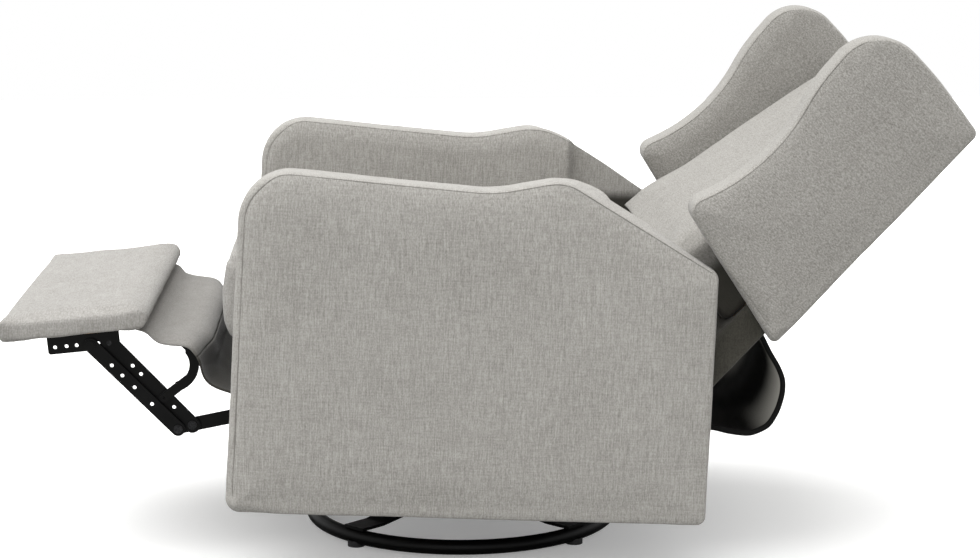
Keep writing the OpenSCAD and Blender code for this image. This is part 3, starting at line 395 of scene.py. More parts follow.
def finish_piece(piece, place, material, body, slot, *nodes, fill=0.85):
    """Puts the mesh in its place, turns its normals outwards, and says which body carries it."""
    piece.data.transform(place)
    pick(piece)
    bpy.ops.object.mode_set(mode="EDIT")
    bpy.ops.mesh.select_all(action="SELECT")
    bpy.ops.mesh.normals_make_consistent(inside=False)
    bpy.ops.object.mode_set(mode="OBJECT")
    bpy.ops.object.shade_smooth()
    piece.data.materials.clear()
    piece.data.materials.append(material)
    if body:
        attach(piece, body)
    if nodes:
        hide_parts(*nodes)


# The cover cloth is a slubbed linen look weave of warm grey yarn. Real threads are 1.1 mm
# apart, finer than the render shows, so they are drawn 2.2 mm apart. Thick slubs run up
# and down, as streaks of lighter and darker yarn, and the surface has a dry, dull sheen.
def linen(name, dark, pale, tilt, streaks, flecks, thread=0.0022, long=1):
    """A weave of yarns from dark to pale, tilted in degrees as its piece is, with streaks
    and flecks of the given strengths; long draws the flecks out across the piece."""
    material, tree, skin = new_material(name)
    where = add_node(tree, "ShaderNodeTexCoord")
    turned = add_node(tree, "ShaderNodeMapping", {"Rotation": (math.radians(tilt), 0, 0)},
                      Vector=where.outputs["Object"])
    wavy = add_node(tree, "ShaderNodeTexNoise", {"Scale": 60.0, "Detail": 1.0}, Vector=turned.outputs[0])
    offset = add_node(tree, "ShaderNodeVectorMath", {"operation": "SCALE", "Scale": 0.0014},
                      Vector=wavy.outputs["Color"])
    bent = add_node(tree, "ShaderNodeVectorMath", {"operation": "ADD"}, _0=turned.outputs[0],
                    _1=offset.outputs[0])
    terms = []
    # yarns up and down, thick slubs among them, yarns across, flecks, and slow changes
    for scale, detail, weight in (((520.0, 520.0, 42.0), 2.0, streaks),
                                  ((150.0, 150.0, 5.0), 1.0, 0.08 * streaks),
                                  ((34.0, 34.0, 520.0), 2.0, 0.45 * streaks),
                                  ((480.0 / long, 480.0, 340.0), 1.0, flecks),
                                  ((9.0, 9.0, 9.0), 2.0, 0.12)):
        drawn = add_node(tree, "ShaderNodeMapping", {"Scale": scale}, Vector=bent.outputs[0])
        yarn = add_node(tree, "ShaderNodeTexNoise", {"Scale": 1.0, "Detail": detail}, Vector=drawn.outputs[0])
        terms.append((yarn, weight))
    level = None
    for yarn, weight in terms:
        part = add_node(tree, "ShaderNodeMath", {"operation": "MULTIPLY_ADD", 1: weight, 2: -0.5 * weight},
                        _0=yarn.outputs[0])
        if level is None:
            part.inputs[2].default_value += 0.5
            level = part
        else:
            level = add_node(tree, "ShaderNodeMath", {"operation": "ADD"}, _0=level.outputs[0],
                             _1=part.outputs[0])
    dye(tree, level, dark, pale, 0.22, 0.78)
    # the weave itself only shows as relief
    parts = add_node(tree, "ShaderNodeSeparateXYZ", None, Vector=bent.outputs[0])
    weave = None
    for axis in range(3):
        scaled = add_node(tree, "ShaderNodeMath", {"operation": "MULTIPLY", 1: math.tau / thread},
                          _0=parts.outputs[axis])
        wave = add_node(tree, "ShaderNodeMath", {"operation": "SINE"}, _0=scaled.outputs[0])
        weave = wave if weave is None else add_node(tree, "ShaderNodeMath", {"operation": "ADD"},
                                                    _0=weave.outputs[0], _1=wave.outputs[0])
    heights = add_node(tree, "ShaderNodeMath", {"operation": "MULTIPLY_ADD", 1: 0.10}, _0=weave.outputs[0],
                       _2=level.outputs[0])
    relief(tree, heights, 0.45, 0.0008)
    skin.inputs["Roughness"].default_value = 0.92
    skin.inputs["Specular IOR Level"].default_value = 0.2
    skin.inputs["Sheen Weight"].default_value = 0.15
    skin.inputs["Sheen Roughness"].default_value = 0.5
    return material


def paint_shade_low(material, place, low, high, dark="#35332E"):
    """Painted shade: a dark colour takes over from the cloth where the height in the given frame is low,
    standing in for the shade that falls there.
    """
    tree = material.node_tree
    skin = tree.nodes["Principled BSDF"]
    cloth = skin.inputs["Base Color"].links[0].from_socket
    back = place.inverted()
    where = add_node(tree, "ShaderNodeTexCoord")
    moved = add_node(tree, "ShaderNodeMapping", {"Location": back.translation, "Rotation": back.to_euler()},
                     Vector=where.outputs["Object"])
    parts = add_node(tree, "ShaderNodeSeparateXYZ", None, Vector=moved.outputs[0])
    share = add_node(tree, "ShaderNodeMapRange", {1: low, 2: high, "interpolation_type": "SMOOTHSTEP"},
                     _0=parts.outputs[2])
    mixed = add_node(tree, "ShaderNodeMix", {"data_type": "RGBA", 6: srgb(dark)}, _0=share.outputs[0],
                     _7=cloth)
    tree.links.new(mixed.outputs[2], skin.inputs["Base Color"])
    return material


arm_linen = linen("slubbed warm grey linen weave", "#807D78", "#B2B0AB", 2.3, 0.62, 0.5)

# The topstitch: a fine darker thread that lies in the seam's valley.
material, tree, skin = new_material("grey polyester sewing thread")
where = add_node(tree, "ShaderNodeTexCoord")
twist = add_node(tree, "ShaderNodeTexNoise", {"Scale": 700.0, "Detail": 2.0}, Vector=where.outputs["Object"])
dye(tree, twist, "#74716C", "#95928C")
skin.inputs["Roughness"].default_value = 0.8
seam_thread = material


def stitch_line(name, path, place, radius=0.0004):
    """A round thread along the seam's points."""
    curve = bpy.data.curves.new(name, "CURVE")
    curve.dimensions = "3D"
    curve.bevel_depth = radius
    curve.bevel_resolution = 1
    line = curve.splines.new("POLY")
    line.points.add(len(path) - 1)
    for point, p in zip(line.points, path):
        point.co = (*p, 1)
    thread = bpy.data.objects.new(name, curve)
    bpy.context.collection.objects.link(thread)
    pick(thread)
    bpy.ops.object.convert(target="MESH")
    thread = bpy.context.object
    thread.data.transform(place)
    thread.data.materials.clear()
    thread.data.materials.append(seam_thread)
    return thread


def arm_depth(y, z):
    """How thick the arm is: less behind the inner pad, and below the seat."""
    behind = min(max((y - 0.180) / 0.009, 0), 1)
    below = min(max((0.296 - z) / 0.010, 0), 1) if y > -0.345 else 0
    behind, below = (k * k * (3 - 2 * k) for k in (behind, below))
    return ARM_THICK - max((ARM_THICK - ARM_THIN) * behind, (ARM_THICK - ARM_LOW) * below)


def arm_seam_in(y, z):
    """The seam lies further in down the front than along the top."""
    return 0.004 + 0.0065 * smooth_step(-y, 0.290, 0.350)


def arm_sewn(y, z):
    """The seam goes down the front and over the top, and not along the rear or the foot."""
    return smooth_step(z - 0.100, 0.012, 0.030) * smooth_step(ARM_REAR - y - (0.493 - z) * 0.4, -0.004, 0.014)


CUP_MIDDLE, CUP_RECESS = (0.400, -0.102, 0.430), (0.0445, 0.1172, 0.0612)
# painted shade: the inner face behind the pad is drawn dark below the back's path, where it lies in deep shade
arm_inside = paint_shade_low(arm_linen.copy(), body_place, 0.497, 0.520)
arm_inside.name = "slubbed warm grey linen with painted shade"
for side, flip in (("left", 1), ("right", -1)):
    place = body_place @ Matrix.Diagonal((flip, 1, 1, 1))
    arm = boxed_cover(f"{side}_arm_cover", arm_corners, arm_ends, arm_grid, COVER_OUT, arm_depth,
                      arm_seam_in, arm_sewn)
    for v in arm.data.vertices:
        # the inner pad stands up at its rear end, where the outer panel slopes down
        v.co.z += (0.011 * smooth_step(v.co.y, 0.110, 0.175) * smooth_step(v.co.z, 0.500, 0.570)
                   * (1 - smooth_step(v.co.x, 0.350, 0.374)))
    soften(arm, 0.0010, 0.0003, 3.1 * flip)
    if flip < 0:
        # the recess for the release cup is cut in the outer panel
        bpy.ops.object.select_all(action="DESELECT")
        bpy.ops.mesh.primitive_cube_add(size=1, location=CUP_MIDDLE)
        cutter = bpy.context.object
        cutter.scale = CUP_RECESS
        cut = arm.modifiers.new("cup recess", "BOOLEAN")
        cut.object = cutter
        cut.solver = "EXACT"
        pick(arm)
        bpy.ops.object.modifier_apply(modifier=cut.name)
        bpy.data.objects.remove(cutter)
    finish_piece(arm, place, arm_linen, "chair", "grey_linen", f"{side}_arm")
    arm.data.materials.append(arm_inside)
    inverse = place.inverted()
    # the inner faces behind the pad take the material with the painted shade
    for face in arm.data.polygons:
        x, y, z = inverse @ face.center
        face.material_index = 1 if x < 0.372 and y > 0.190 else 0
    seam = seam_path(arm_corners, arm_ends, arm_grid, arm_seam_in, arm_sewn)
    thread = stitch_line(f"{side}_arm_seam", seam, place)
    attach(thread, "chair")

# Wings: plywood cheeks padded with foam, in the same boxed cover, cut from a finer tweed.
# They are screwed to the sides of the back frame.
back_place = body_place @ Matrix.Translation((0, 0.448, 0.385)) @ Matrix.Rotation(math.radians(48.9), 4, "X")
BACK_LONG, WING_IN = 0.444, 0.318
wing_corners = [(0, 0, 0.010), (BACK_LONG, 0, 0.014), (0.4625, 0.120, 0.500), (0.4660, 0.2390, 0.074),
                (BACK_LONG * 0.74, 0.233, 0.340), (BACK_LONG * 0.44, 0.1970, 0.300), (0.063, 0.250, 0.022)]
wing_ends, wing_grid = (0, 1, 3, 6), (100, 60)
tweed = linen("fine warm grey tweed", "#787570", "#AAA8A3", -46.6, 0.14, 0.9, thread=0.0019)


def wing_seam_in(s, d):
    """The seam lies further in round the foot."""
    return 0.004 + 0.005 * smooth_step(0.060 - s, 0.010, 0.040)


def wing_sewn(s, d):
    """The seam goes along the foot and round the front to the brow, and no further."""
    return smooth_step(d, 0.012, 0.040) * smooth_step(0.458 - s + (d - 0.233), 0.004, 0.030)


for side, flip in (("left", 1), ("right", -1)):
    place = back_place @ Matrix.Diagonal((flip, 1, 1, 1))
    wing = boxed_cover(f"{side}_wing_cover", wing_corners, wing_ends, wing_grid, COVER_OUT,
                       lambda s, d: COVER_OUT - WING_IN, wing_seam_in, wing_sewn)
    soften(wing, 0.0010, 0.0003, 7.3 * flip)
    finish_piece(wing, place, tweed, "back", "grey_tweed", f"{side}_wing")
    seam = seam_path(wing_corners, wing_ends, wing_grid, wing_seam_in, wing_sewn)
    thread = stitch_line(f"{side}_wing_seam", seam, place)
    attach(thread, "back")

# Seat cushion: a foam block wrapped in fibre, in a loose cover that swells between its
# seams, so it is modelled small and inflated as cloth.
def pillow(name, low, high, cuts, shape):
    """A closed block of the given box, cut into small squares, its points moved by shape."""
    bpy.ops.object.select_all(action="DESELECT")
    bpy.ops.mesh.primitive_cube_add(size=2)
    piece = bpy.context.object
    piece.name = piece.data.name = name
    bpy.ops.object.mode_set(mode="EDIT")
    bpy.ops.mesh.subdivide(number_cuts=cuts)
    bpy.ops.object.mode_set(mode="OBJECT")
    centre, half = (Vector(low) + Vector(high)) / 2, (Vector(high) - Vector(low)) / 2
    for v in piece.data.vertices:
        u = v.co.copy()
        v.co = Vector(shape(u, centre + Vector(a * b for a, b in zip(u, half))))
    return piece


def round_block(u, p, half, radius):
    """Rounds the edges of a block: u is the point on the unit block, p its place."""
    core = [max(abs(a) * h - (h - radius), 0) for a, h in zip(u, half)]
    far = math.sqrt(sum(c * c for c in core))
    if far <= radius or far == 0:
        return p
    return Vector(q - math.copysign(c * (1 - radius / far), a) for q, c, a in zip(p, core, u))


def relax(piece):
    """Evens out small dents in the surface."""
    even = piece.modifiers.new("Smooth", "SMOOTH")
    even.factor, even.iterations = 0.5, 3
    bpy.ops.object.modifier_apply(modifier=even.name)


def inflate(piece, voxel, cap, fit, pressure=4.0, hold=None, frames=20):
    """Remeshes the pad evenly, blows it up as cloth with its movement kept under cap, and
    lets it out or takes it in to fill its place."""
    pick(piece)
    remesh = piece.modifiers.new("Remesh", "REMESH")
    remesh.mode = "VOXEL"
    remesh.voxel_size = voxel
    bpy.ops.object.modifier_apply(modifier=remesh.name)
    mesh = piece.data
    start = np.array([v.co for v in mesh.vertices])
    cloth = piece.modifiers.new("Cloth", "CLOTH")
    settings = cloth.settings
    settings.use_pressure = True
    settings.uniform_pressure_force = pressure
    settings.effector_weights.gravity = 0
    settings.quality = 4
    if hold:
        group = piece.vertex_groups.new(name="held")
        group.add([i for i, p in enumerate(start) if hold(p)], 1.0, "REPLACE")
        settings.vertex_group_mass = "held"
    for f in range(1, frames + 1):
        bpy.context.scene.frame_set(f)
    shown = piece.evaluated_get(bpy.context.evaluated_depsgraph_get())
    end = np.array([v.co for v in shown.data.vertices])
    piece.modifiers.remove(cloth)
    bpy.context.scene.frame_set(1)
    move = end - start
    length = np.linalg.norm(move, axis=1, keepdims=True)
    move *= cap * np.tanh(length / cap) / np.maximum(length, 1e-9)
    end = start + move
    for v, p in zip(mesh.vertices, end):
        v.co = p
    relax(piece)
    end = np.array([v.co for v in mesh.vertices])
    low, high = end.min(axis=0), end.max(axis=0)
    end = np.array(fit[0]) + (end - low) / (high - low) * (np.array(fit[1]) - np.array(fit[0]))
    for v, p in zip(mesh.vertices, end):
        v.co = p


def refine(piece):
    """Gives the mesh four faces for one, and rounds it."""
    pick(piece)
    finer = piece.modifiers.new("Subdivision", "SUBSURF")
    finer.levels = finer.render_levels = 1
    bpy.ops.object.modifier_apply(modifier=finer.name)


SEAT_X, SEAT_LOW, SEAT_FRONT, SEAT_LONG, SEAT_TALL = 0.316, 0.3405, -0.372, 0.622, 0.160
SEAT_FALL = 0.165  # how much lower its rear is, as a share of its height


def seat_shape(u, p):
    p = round_block(u, p, (SEAT_X, SEAT_LONG / 2, SEAT_TALL / 2), 0.034)
    t = (p.y - SEAT_FRONT) / SEAT_LONG
    k = (p.z - SEAT_LOW) / SEAT_TALL
    p.z = SEAT_LOW + (p.z - SEAT_LOW) * (1 - SEAT_FALL * t)
    p.z += k * 0.010 * (1 - (p.x / SEAT_X) ** 4) * (1 - (2 * t - 1) ** 4)
    p.y -= 0.012 * (1 - t) ** 6 * math.sin(math.pi * min(max(k, 0), 1)) * (1 - (p.x / SEAT_X) ** 6)
    return p


seat = pillow("seat_cushion_cover", (-SEAT_X, SEAT_FRONT, SEAT_LOW),
              (SEAT_X, SEAT_FRONT + SEAT_LONG, SEAT_LOW + SEAT_TALL), 30, seat_shape)
inflate(seat, 0.011, 0.013, ((-0.3230, -0.3975, SEAT_LOW), (0.3230, 0.252, 0.511)),
        hold=lambda p: p[2] < SEAT_LOW + 0.004)
refine(seat)
for v in seat.data.vertices:
    # sewn seams of the boxing, along the top and bottom edges of its band
    for height, depth in ((0.135, 0.0022), (0.012, 0.0018)):
        t = (v.co.y - SEAT_FRONT) / SEAT_LONG
        gap = (v.co.z - SEAT_LOW) - height * (1 - SEAT_FALL * t)
        out = max(abs(v.co.x) - 0.300, -0.352 - v.co.y, v.co.y - 0.235)
        if out > -0.004 and abs(gap) < 0.012:
            v.co -= v.normal * depth * math.exp(-(gap / 0.0032) ** 2)
seat_linen = linen("slubbed pale grey linen weave", "#7C7974", "#A6A4A0", 2.3, 0.5, 0.6, long=4)
finish_piece(seat, body_place, seat_linen, "chair", "pale_linen", "seat_cushion", fill=0.8)

# Inner back: a deep foam cushion between the wings, its cover pulled tight over the frame.
BACK_IN, BACK_FLOOR, BACK_COVER, BACK_FOOT = 0.311, 0.0568, 0.3172, 0.0308
BACK_FACE, BACK_SLOPE = 0.206, 0.2255  # its face stands so high at the foot, and falls towards the top


def back_shape(u, p):
    p = round_block(u, p, (BACK_IN, 0.231, 0.5), 0.018)
    k = (u.z + 1) / 2
    edge = max(abs(u.x), abs(u.y))
    face = 0.190 - 0.106 * (p.y + 0.030) / 0.470
    p.z = BACK_FLOOR + k * (face - BACK_FLOOR) - (0.012 * max(edge - 0.93, 0) / 0.07 if k > 0.99 else 0)
    return p


back = pillow("back_cushion_cover", (-BACK_IN, -0.026, BACK_FLOOR), (BACK_IN, 0.436, 0.20), 26, back_shape)
inflate(back, 0.011, 0.012, ((-BACK_COVER, -BACK_FOOT, BACK_FLOOR), (BACK_COVER, 0.4370, 0.2020)),
        hold=lambda p: p[2] < BACK_FLOOR + 0.004)
refine(back)
for v in back.data.vertices:
    # the foot of its face is sewn square: its rounded edge is drawn out to the corner
    low, beside = v.co.y + BACK_FOOT, BACK_COVER - abs(v.co.x)
    under = BACK_FACE - BACK_SLOPE * (v.co.y + 0.030) - v.co.z
    tight = 0.35 + 0.65 * smooth_step(max(low, under), 0, 0.045)
    if low < 0.045 and 0 < under < 0.045:
        low, under = low * tight, under * tight
    tight = 0.6 + 0.4 * smooth_step(max(low, beside), 0, 0.035)
    if low < 0.035 and beside < 0.035 and v.co.z > 0.100:
        low, beside = low * tight, beside * tight
    v.co = (math.copysign(BACK_COVER - beside, v.co.x), low - BACK_FOOT,
            BACK_FACE - BACK_SLOPE * (low - 0.0008) - under)
relax(back)
inner_linen = linen("tight pale grey linen weave", "#75726D", "#A2A09B", -46.6, 0.3, 0.65, long=4)
# painted shade: its sides are drawn dark below the wings, where they lie in the wings' shade
side_place = back_place @ Matrix.Translation((0, 0.030, 0)) @ Matrix.Rotation(math.radians(-14), 4, "X")
paint_shade_low(inner_linen, side_place, 0.122, 0.146, dark="#494741")
finish_piece(back, back_place, inner_linen, "back", "pale_linen", "back_cushion", fill=0.85)

# Outer back: a flat padded panel between the wings, tacked round its edge and folded over
# the top of the frame.
bpy.ops.object.select_all(action="DESELECT")
bpy.ops.mesh.primitive_cube_add(size=2)
panel = bpy.context.object
PANEL_HALF = (0.3172, 0.2145, 0.0068)
panel.name = panel.data.name = "outer_back_panel"
bpy.ops.object.mode_set(mode="EDIT")
bpy.ops.mesh.subdivide(number_cuts=60)
bpy.ops.object.mode_set(mode="OBJECT")
for v in panel.data.vertices:
    u = v.co.copy()
    p = round_block(u, Vector(a * b for a, b in zip(u, PANEL_HALF)), PANEL_HALF, 0.0055)
    flat = (1 - u.x ** 8) * (1 - u.y ** 8)
    tuck = 0.0010 * math.sin(u.x * 60) * (abs(u.y) ** 14) + 0.0010 * math.sin(u.y * 45) * (abs(u.x) ** 14)
    # its top is folded forwards over the frame, to meet the cushion
    p.z += 0.0440 * (u.z + 1) / 2 * smooth_step(u.y, 0.905, 0.940)
    if u.z < 0:
        p.z -= 0.0020 * flat + tuck + 0.0012 * noise.noise(Vector((p.x * 9, p.y * 9, 3)))
    v.co = p + Vector((0, 0.2160, 0.0090))
finish_piece(panel, back_place, arm_linen, "back", "grey_linen", "outer_back", fill=0.9)

# Footrest pad: thin foam over the board, the cover pulled round the edges and stapled below.
REST_X, REST_LONG, REST_THICK, REST_COVER, REST_MIDDLE = 0.318, 0.216, 0.032, 0.320, 0.109
rest_place = body_place @ Matrix.Translation((0, -0.515, 0.367)) @ Matrix.Rotation(math.radians(7.5), 4, "X")


def rest_shape(u, p):
    return round_block(u, p, (REST_X, REST_LONG / 2, REST_THICK / 2), 0.008)


rest = pillow("footrest_pad_cover", (-REST_X, -REST_LONG - 0.001, 0.001), (REST_X, -0.001, REST_THICK), 22,
              rest_shape)
inflate(rest, 0.007, 0.004, ((-REST_COVER, -0.219, -0.0022), (REST_COVER, 0.001, 0.0380)),
        hold=lambda p: p[2] < 0.004)
refine(rest)
for v in rest.data.vertices:
    # its corners are folded square
    beside, ahead = REST_COVER - abs(v.co.x), REST_MIDDLE - abs(v.co.y + REST_MIDDLE)
    if max(beside, ahead) < 0.024:
        tight = 0.4 + 0.6 * smooth_step(max(beside, ahead), 0, 0.024)
        v.co.x = math.copysign(REST_COVER - beside * tight, v.co.x)
        v.co.y = -REST_MIDDLE + math.copysign(REST_MIDDLE - ahead * tight, v.co.y + REST_MIDDLE)
    # the cover is gathered at its corners, and uneven where it is stapled under the board
    gap = math.hypot(max(0.300 - abs(v.co.x), 0), max(0.092 - abs(v.co.y + 0.108), 0))
    fold = 0.0012 * math.exp(-(gap / 0.016) ** 2) * math.sin(900 * (v.co.x + v.co.y * 0.7))
    if v.co.z < 0.012:
        fold += 0.0014 * noise.noise(Vector((v.co.x * 30, v.co.y * 30, 4)))
    v.co += v.normal * fold
    # its rear swells out over the heel
    swell = max(1 - ((v.co.z - 0.016) / 0.021) ** 2, 0)
    v.co.y += (0.013 * swell - 0.004) * smooth_step(v.co.y, -0.030, -0.002)
finish_piece(rest, rest_place, seat_linen, "footrest", "pale_linen", "footrest_pad", fill=0.7)

# Flap behind the footrest: one width of the same cloth, sewn to the footrest's heel, laid
# over the two steel hooks and tacked to the front of the seat. It is cut into three
# lengths, one for each pivot that it crosses.
def cloth_rows(path, half_wide, columns, lift):
    """Rows of points over a path in y and z, moved off its left side by lift(x, far, long)."""
    path = np.array(path)
    along = np.concatenate([[0], np.cumsum(np.linalg.norm(np.diff(path, axis=0), axis=1))])
    steps = int(along[-1] / 0.0035)
    far = np.linspace(0, along[-1], steps + 1)
    line = np.stack([np.interp(far, along, path[:, c]) for c in (0, 1)], axis=1)
    for _ in range(9):
        line[1:-1] = (line[:-2] + 2 * line[1:-1] + line[2:]) / 4
    slope = np.gradient(line, axis=0)
    slope /= np.linalg.norm(slope, axis=1, keepdims=True)
    normal = np.stack([-slope[:, 1], slope[:, 0]], axis=1)
    across = np.linspace(-half_wide, half_wide, columns + 1)
    return [[(x, *(p + n * lift(x, d, far[-1]))) for x in across] for p, n, d in zip(line, normal, far)]


def cloth_mesh(name, rows, thickness=0.0022, offset=-1):
    """A sheet of even thickness through the rows of points."""
    w = len(rows[0])
    faces = [(i * w + c, (i + 1) * w + c, (i + 1) * w + c + 1, i * w + c + 1)
             for i in range(len(rows) - 1) for c in range(w - 1)]
    mesh = bpy.data.meshes.new(name)
    mesh.from_pydata([p for row in rows for p in row], [], faces)
    piece = bpy.data.objects.new(name, mesh)
    bpy.context.collection.objects.link(piece)
    pick(piece)
    wall = piece.modifiers.new("Solidify", "SOLIDIFY")
    wall.thickness, wall.offset = thickness, offset
    bpy.ops.object.modifier_apply(modifier=wall.name)
    return piece


FLAP_HALF = 0.306
flap_path = [(-0.3035, 0.333), (-0.3045, 0.292), (-0.318, 0.271), (-0.345, 0.264), (-0.379, 0.270),
             (-0.402, 0.276), (-0.417, 0.286), (-0.4225, 0.302), (-0.4245, 0.322),
             (-0.432, 0.340), (-0.446, 0.348),
             (-0.474, 0.3485), (-0.492, 0.351), (-0.508, 0.362), (-0.525, 0.3655)]
# name, where it ends, the bodies at its two ends, and from where to where it bends
flap_parts = [("flap_rear", -0.345, 0.264, "rear_bars", "chair", (-0.340, 0.266), (-0.306, 0.290)),
              ("flap_middle", -0.4245, 0.322, "front_bars", "rear_bars", (-0.422, 0.300), (-0.350, 0.265)),
              ("flap_front", -0.525, 0.3655, "footrest", "front_bars", (-0.515, 0.365), (-0.480, 0.348))]


def flap_drop(x, far, long):
    """Slight waves, and a droop of the free edges outside the hooks, behind the heel."""
    front = long - far
    droop = (0.0085 if x < 0 else 0.0055) * smooth_step(abs(x), 0.272, 0.306)
    droop *= smooth_step(front, 0.015, 0.045) * (1 - smooth_step(front, 0.100, 0.135))
    # between the hooks it sags towards the seat
    sag = 0.014 * (1 - smooth_step(abs(x), 0.170, 0.285))
    sag *= smooth_step(front, 0.070, 0.120) * (1 - smooth_step(front, 0.135, 0.200))
    return 0.0012 * noise.noise(Vector((x * 18, far * 30, 1))) * smooth_step(front, 0, 0.02) + droop - sag


# the flap lies in shade, so its cloth is drawn darker as painted shade, and below the hooks it is painted
# darker still, as painted shade under the footrest
flap_linen = paint_shade_low(linen("shaded grey linen weave", "#6C6965", "#918F8B", 2.3, 0.5, 0.6), body_place,
                   0.316, 0.343)
flap_rows = cloth_rows(flap_path, FLAP_HALF, 60, flap_drop)
first = 0
for name, y, z, near, far, start, end in flap_parts:
    last = min(range(len(flap_rows)), key=lambda i: math.dist(flap_rows[i][30][1:], (y, z)))
    strip = cloth_mesh(name, flap_rows[first:last + 1])
    finish_piece(strip, body_place, flap_linen, None, "pale_linen", fill=None)
    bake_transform(strip)
    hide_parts("footrest_flap")
    first = last

# Skirt: a sleeve of grey cloth round the foot of the back frame, which goes down between the arms; its colour
# is drawn dark as painted shade, for it lies in shade under the wings. Its front stops at the cushion, and its
# ends are turned in at the bottom. The two back brackets come up through its open foot.
skirt_half, skirt_long, skirt_near, skirt_far, skirt_top = 0.338, 0.127, 0.0112, 0.0592, 0.0300
# its outline from the front's middle round one side to the rear's middle
outline = [(x, skirt_far) for x in (-0.200, -0.270, -0.285, -0.316, -0.319, -skirt_half + 0.012)]
outline += [(-skirt_half + 0.012 - 0.012 * math.sin(a), skirt_far - 0.012 + 0.012 * math.cos(a))
            for a in (0.4, 0.8, 1.2)]
outline += [(-skirt_half, skirt_far - 0.012 - 0.030 * i / 6) for i in range(7)]
outline += [(-skirt_half + 0.006 * (1 - math.cos(a)), skirt_near + 0.006 * (1 - math.sin(a)))
            for a in (0.4, 0.8, 1.2)]
outline += [(-0.332 + 0.332 * i / 30, skirt_near) for i in range(31)]
whole = outline + [(-x, d) for x, d in outline[::-1][1:]]
skirt_steps = 24
rows = []
for r in range(skirt_steps + 1):
    row = []
    for x, d in whole:
        # beside the cushion it goes up to the sloping foot of the wing
        front = -skirt_top if abs(x) < 0.28 else -0.012
        top = 0.252 * d + 0.003 if abs(x) > 0.318 else front if d > skirt_far - 0.004 else -0.0015
        s = top - (skirt_long + top) * r / skirt_steps
        bag = math.sin(math.pi * r / skirt_steps)
        ripple = noise.noise(Vector((x * 14, s * 24, d * 14)))
        wave = bag * (0.0012 * ripple + 0.0006 * math.sin(s * 160 + x * 20))
        if abs(x) > 0.330:
            row.append((x + wave, s, d))
        else:
            row.append((x, s, d + abs(wave) * (-1 if d < 0.03 else 1)))
    rows.append(row)
skirt = cloth_mesh("skirt_cloth", rows, offset=0)
# painted shade: the skirt's cloth is given a dark colour for the shade it lies in
lining = linen("grey skirt cloth with painted shade", "#35332E", "#56544C", 2.3, 0.3, 0.5)
finish_piece(skirt, back_place, lining, "back", "grey_linen", "back_skirt", fill=None)

# Dust pouch: black non-woven cloth from the heel of the back to the rear cross tube. It
# closes the gap that opens as the back goes down, and hangs in a loop between them.
def dust_felt(name, dark, pale, rough=0.88, dotted=True):
    """Black non-woven cloth, pressed with fine dots."""
    material, tree, skin = new_material(name)
    where = add_node(tree, "ShaderNodeTexCoord")
    felt = add_node(tree, "ShaderNodeTexNoise", {"Scale": 380.0, "Detail": 4.0}, Vector=where.outputs["Object"])
    dots = add_node(tree, "ShaderNodeTexVoronoi", {"Scale": 330.0}, Vector=where.outputs["Object"])
    dye(tree, felt, dark, pale)
    if dotted:
        relief(tree, dots, 0.5, 0.0005)
    skin.inputs["Roughness"].default_value = rough
    return material


dust_cloth = dust_felt("black non-woven dust cloth", "#232322", "#363635")
# the same cloth folded over the cord looks darker, for no light comes through it
hem_cloth = dust_felt("black non-woven hem", "#080808", "#151514", rough=0.85, dotted=False)
hem_cloth.node_tree.nodes["Principled BSDF"].inputs["Specular IOR Level"].default_value = 0.2
# inside, the pouch is black, with a painted glow near its rear: an emission stands in for daylight coming
# through the thin cloth
painted_glow_cloth = dust_felt("black dust cloth with painted glow", "#100F0F", "#1E1E1D")
tree = painted_glow_cloth.node_tree
where = add_node(tree, "ShaderNodeTexCoord")
parts = add_node(tree, "ShaderNodeSeparateXYZ", None, Vector=where.outputs["Object"])
rear = add_node(tree, "ShaderNodeMapRange", {1: 0.424, 2: 0.482, "interpolation_type": "SMOOTHSTEP"},
                _0=parts.outputs[1])
deep = add_node(tree, "ShaderNodeMath", {"operation": "ABSOLUTE"}, _0=parts.outputs[0])
mouth = add_node(tree, "ShaderNodeMapRange",
                 {1: 0.080, 2: 0.300, 4: 0.24, "interpolation_type": "SMOOTHSTEP"}, _0=deep.outputs[0])
glow = add_node(tree, "ShaderNodeMath", {"operation": "MULTIPLY"}, _0=rear.outputs[0], _1=mouth.outputs[0])
skin = tree.nodes["Principled BSDF"]
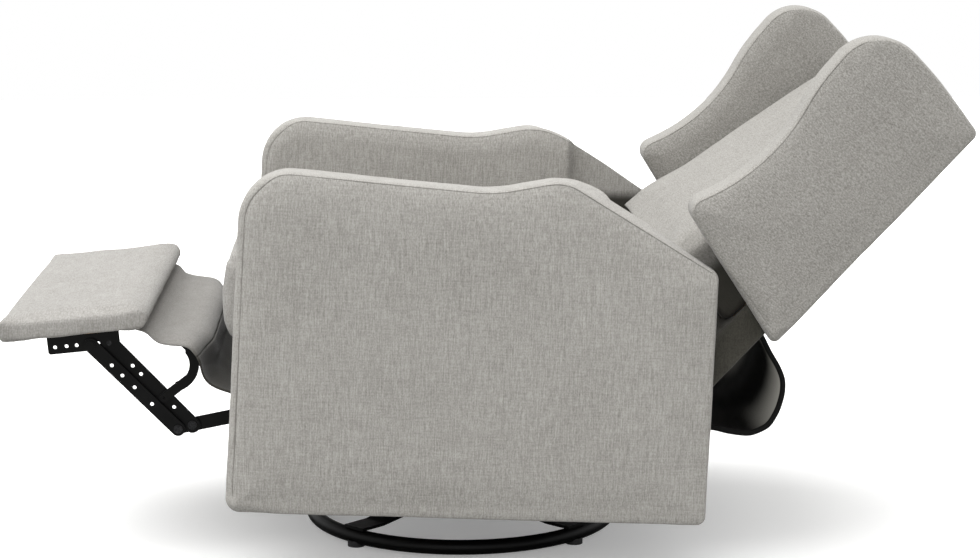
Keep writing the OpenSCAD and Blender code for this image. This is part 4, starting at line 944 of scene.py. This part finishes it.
skin.inputs["Specular IOR Level"].default_value = 0.15
# painted light: the inside glows towards the rear and the open ends
skin.inputs["Emission Color"].default_value = srgb("#F4F1E6")
tree.links.new(glow.outputs[0], skin.inputs["Emission Strength"])
pouch_path = [(0.4392, 0.3886), (0.4448, 0.3798), (0.457, 0.356), (0.471, 0.336), (0.482, 0.314),
              (0.483, 0.292), (0.477, 0.266), (0.463, 0.240), (0.434, 0.2255), (0.402, 0.2285),
              (0.372, 0.2365), (0.330, 0.2325), (0.280, 0.2015), (0.240, 0.1585), (0.2265, 0.132),
              (0.2265, 0.104)]
POUCH_HALF, HEM, HEM_WIDE = 0.300, 0.0046, 0.009


def pouch_fall(x, far, long):
    """It hangs deepest in the middle, with soft creases."""
    t = far / long
    hang = 0.009 * (1 - (x / POUCH_HALF) ** 4)
    crease = 0.0012 * math.sin(x * 40 + 7 * t)
    return -(hang + crease + 0.005 * noise.noise(Vector((x * 7, t * 5, 6)))) * math.sin(math.pi * t)


rows = cloth_rows(pouch_path[::-1], POUCH_HALF, 90, pouch_fall)
pouch = cloth_mesh("dust_pouch_cloth", rows, thickness=0.0012)
# the side edges are turned over a cord
hems = []
for side in (-1, 1):
    edge = [row[0 if side < 0 else -1] for row in rows]
    cord = [(x - side * 0.003, y, z) for x, y, z in edge]
    hems.append(stitch_line("pouch_hem", cord, Matrix.Identity(4), radius=HEM))
bpy.ops.object.select_all(action="DESELECT")
for hem in hems + [pouch]:
    hem.select_set(True)
bpy.context.view_layer.objects.active = pouch
bpy.ops.object.join()
finish_piece(pouch, body_place, dust_cloth, None, "dust_cloth", fill=None)
pouch.data.materials.append(hem_cloth)
pouch.data.materials.append(painted_glow_cloth)
# the faces inside the pouch take the cloth with the painted glow
for face in pouch.data.polygons:
    inside = face.normal @ (Vector((face.center.x, 0.340, 0.300)) - face.center) > 0
    face.material_index = 1 if abs(face.center.x) > POUCH_HALF - HEM_WIDE else 2 if inside else 0
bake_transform(pouch)
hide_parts("dust_pouch")
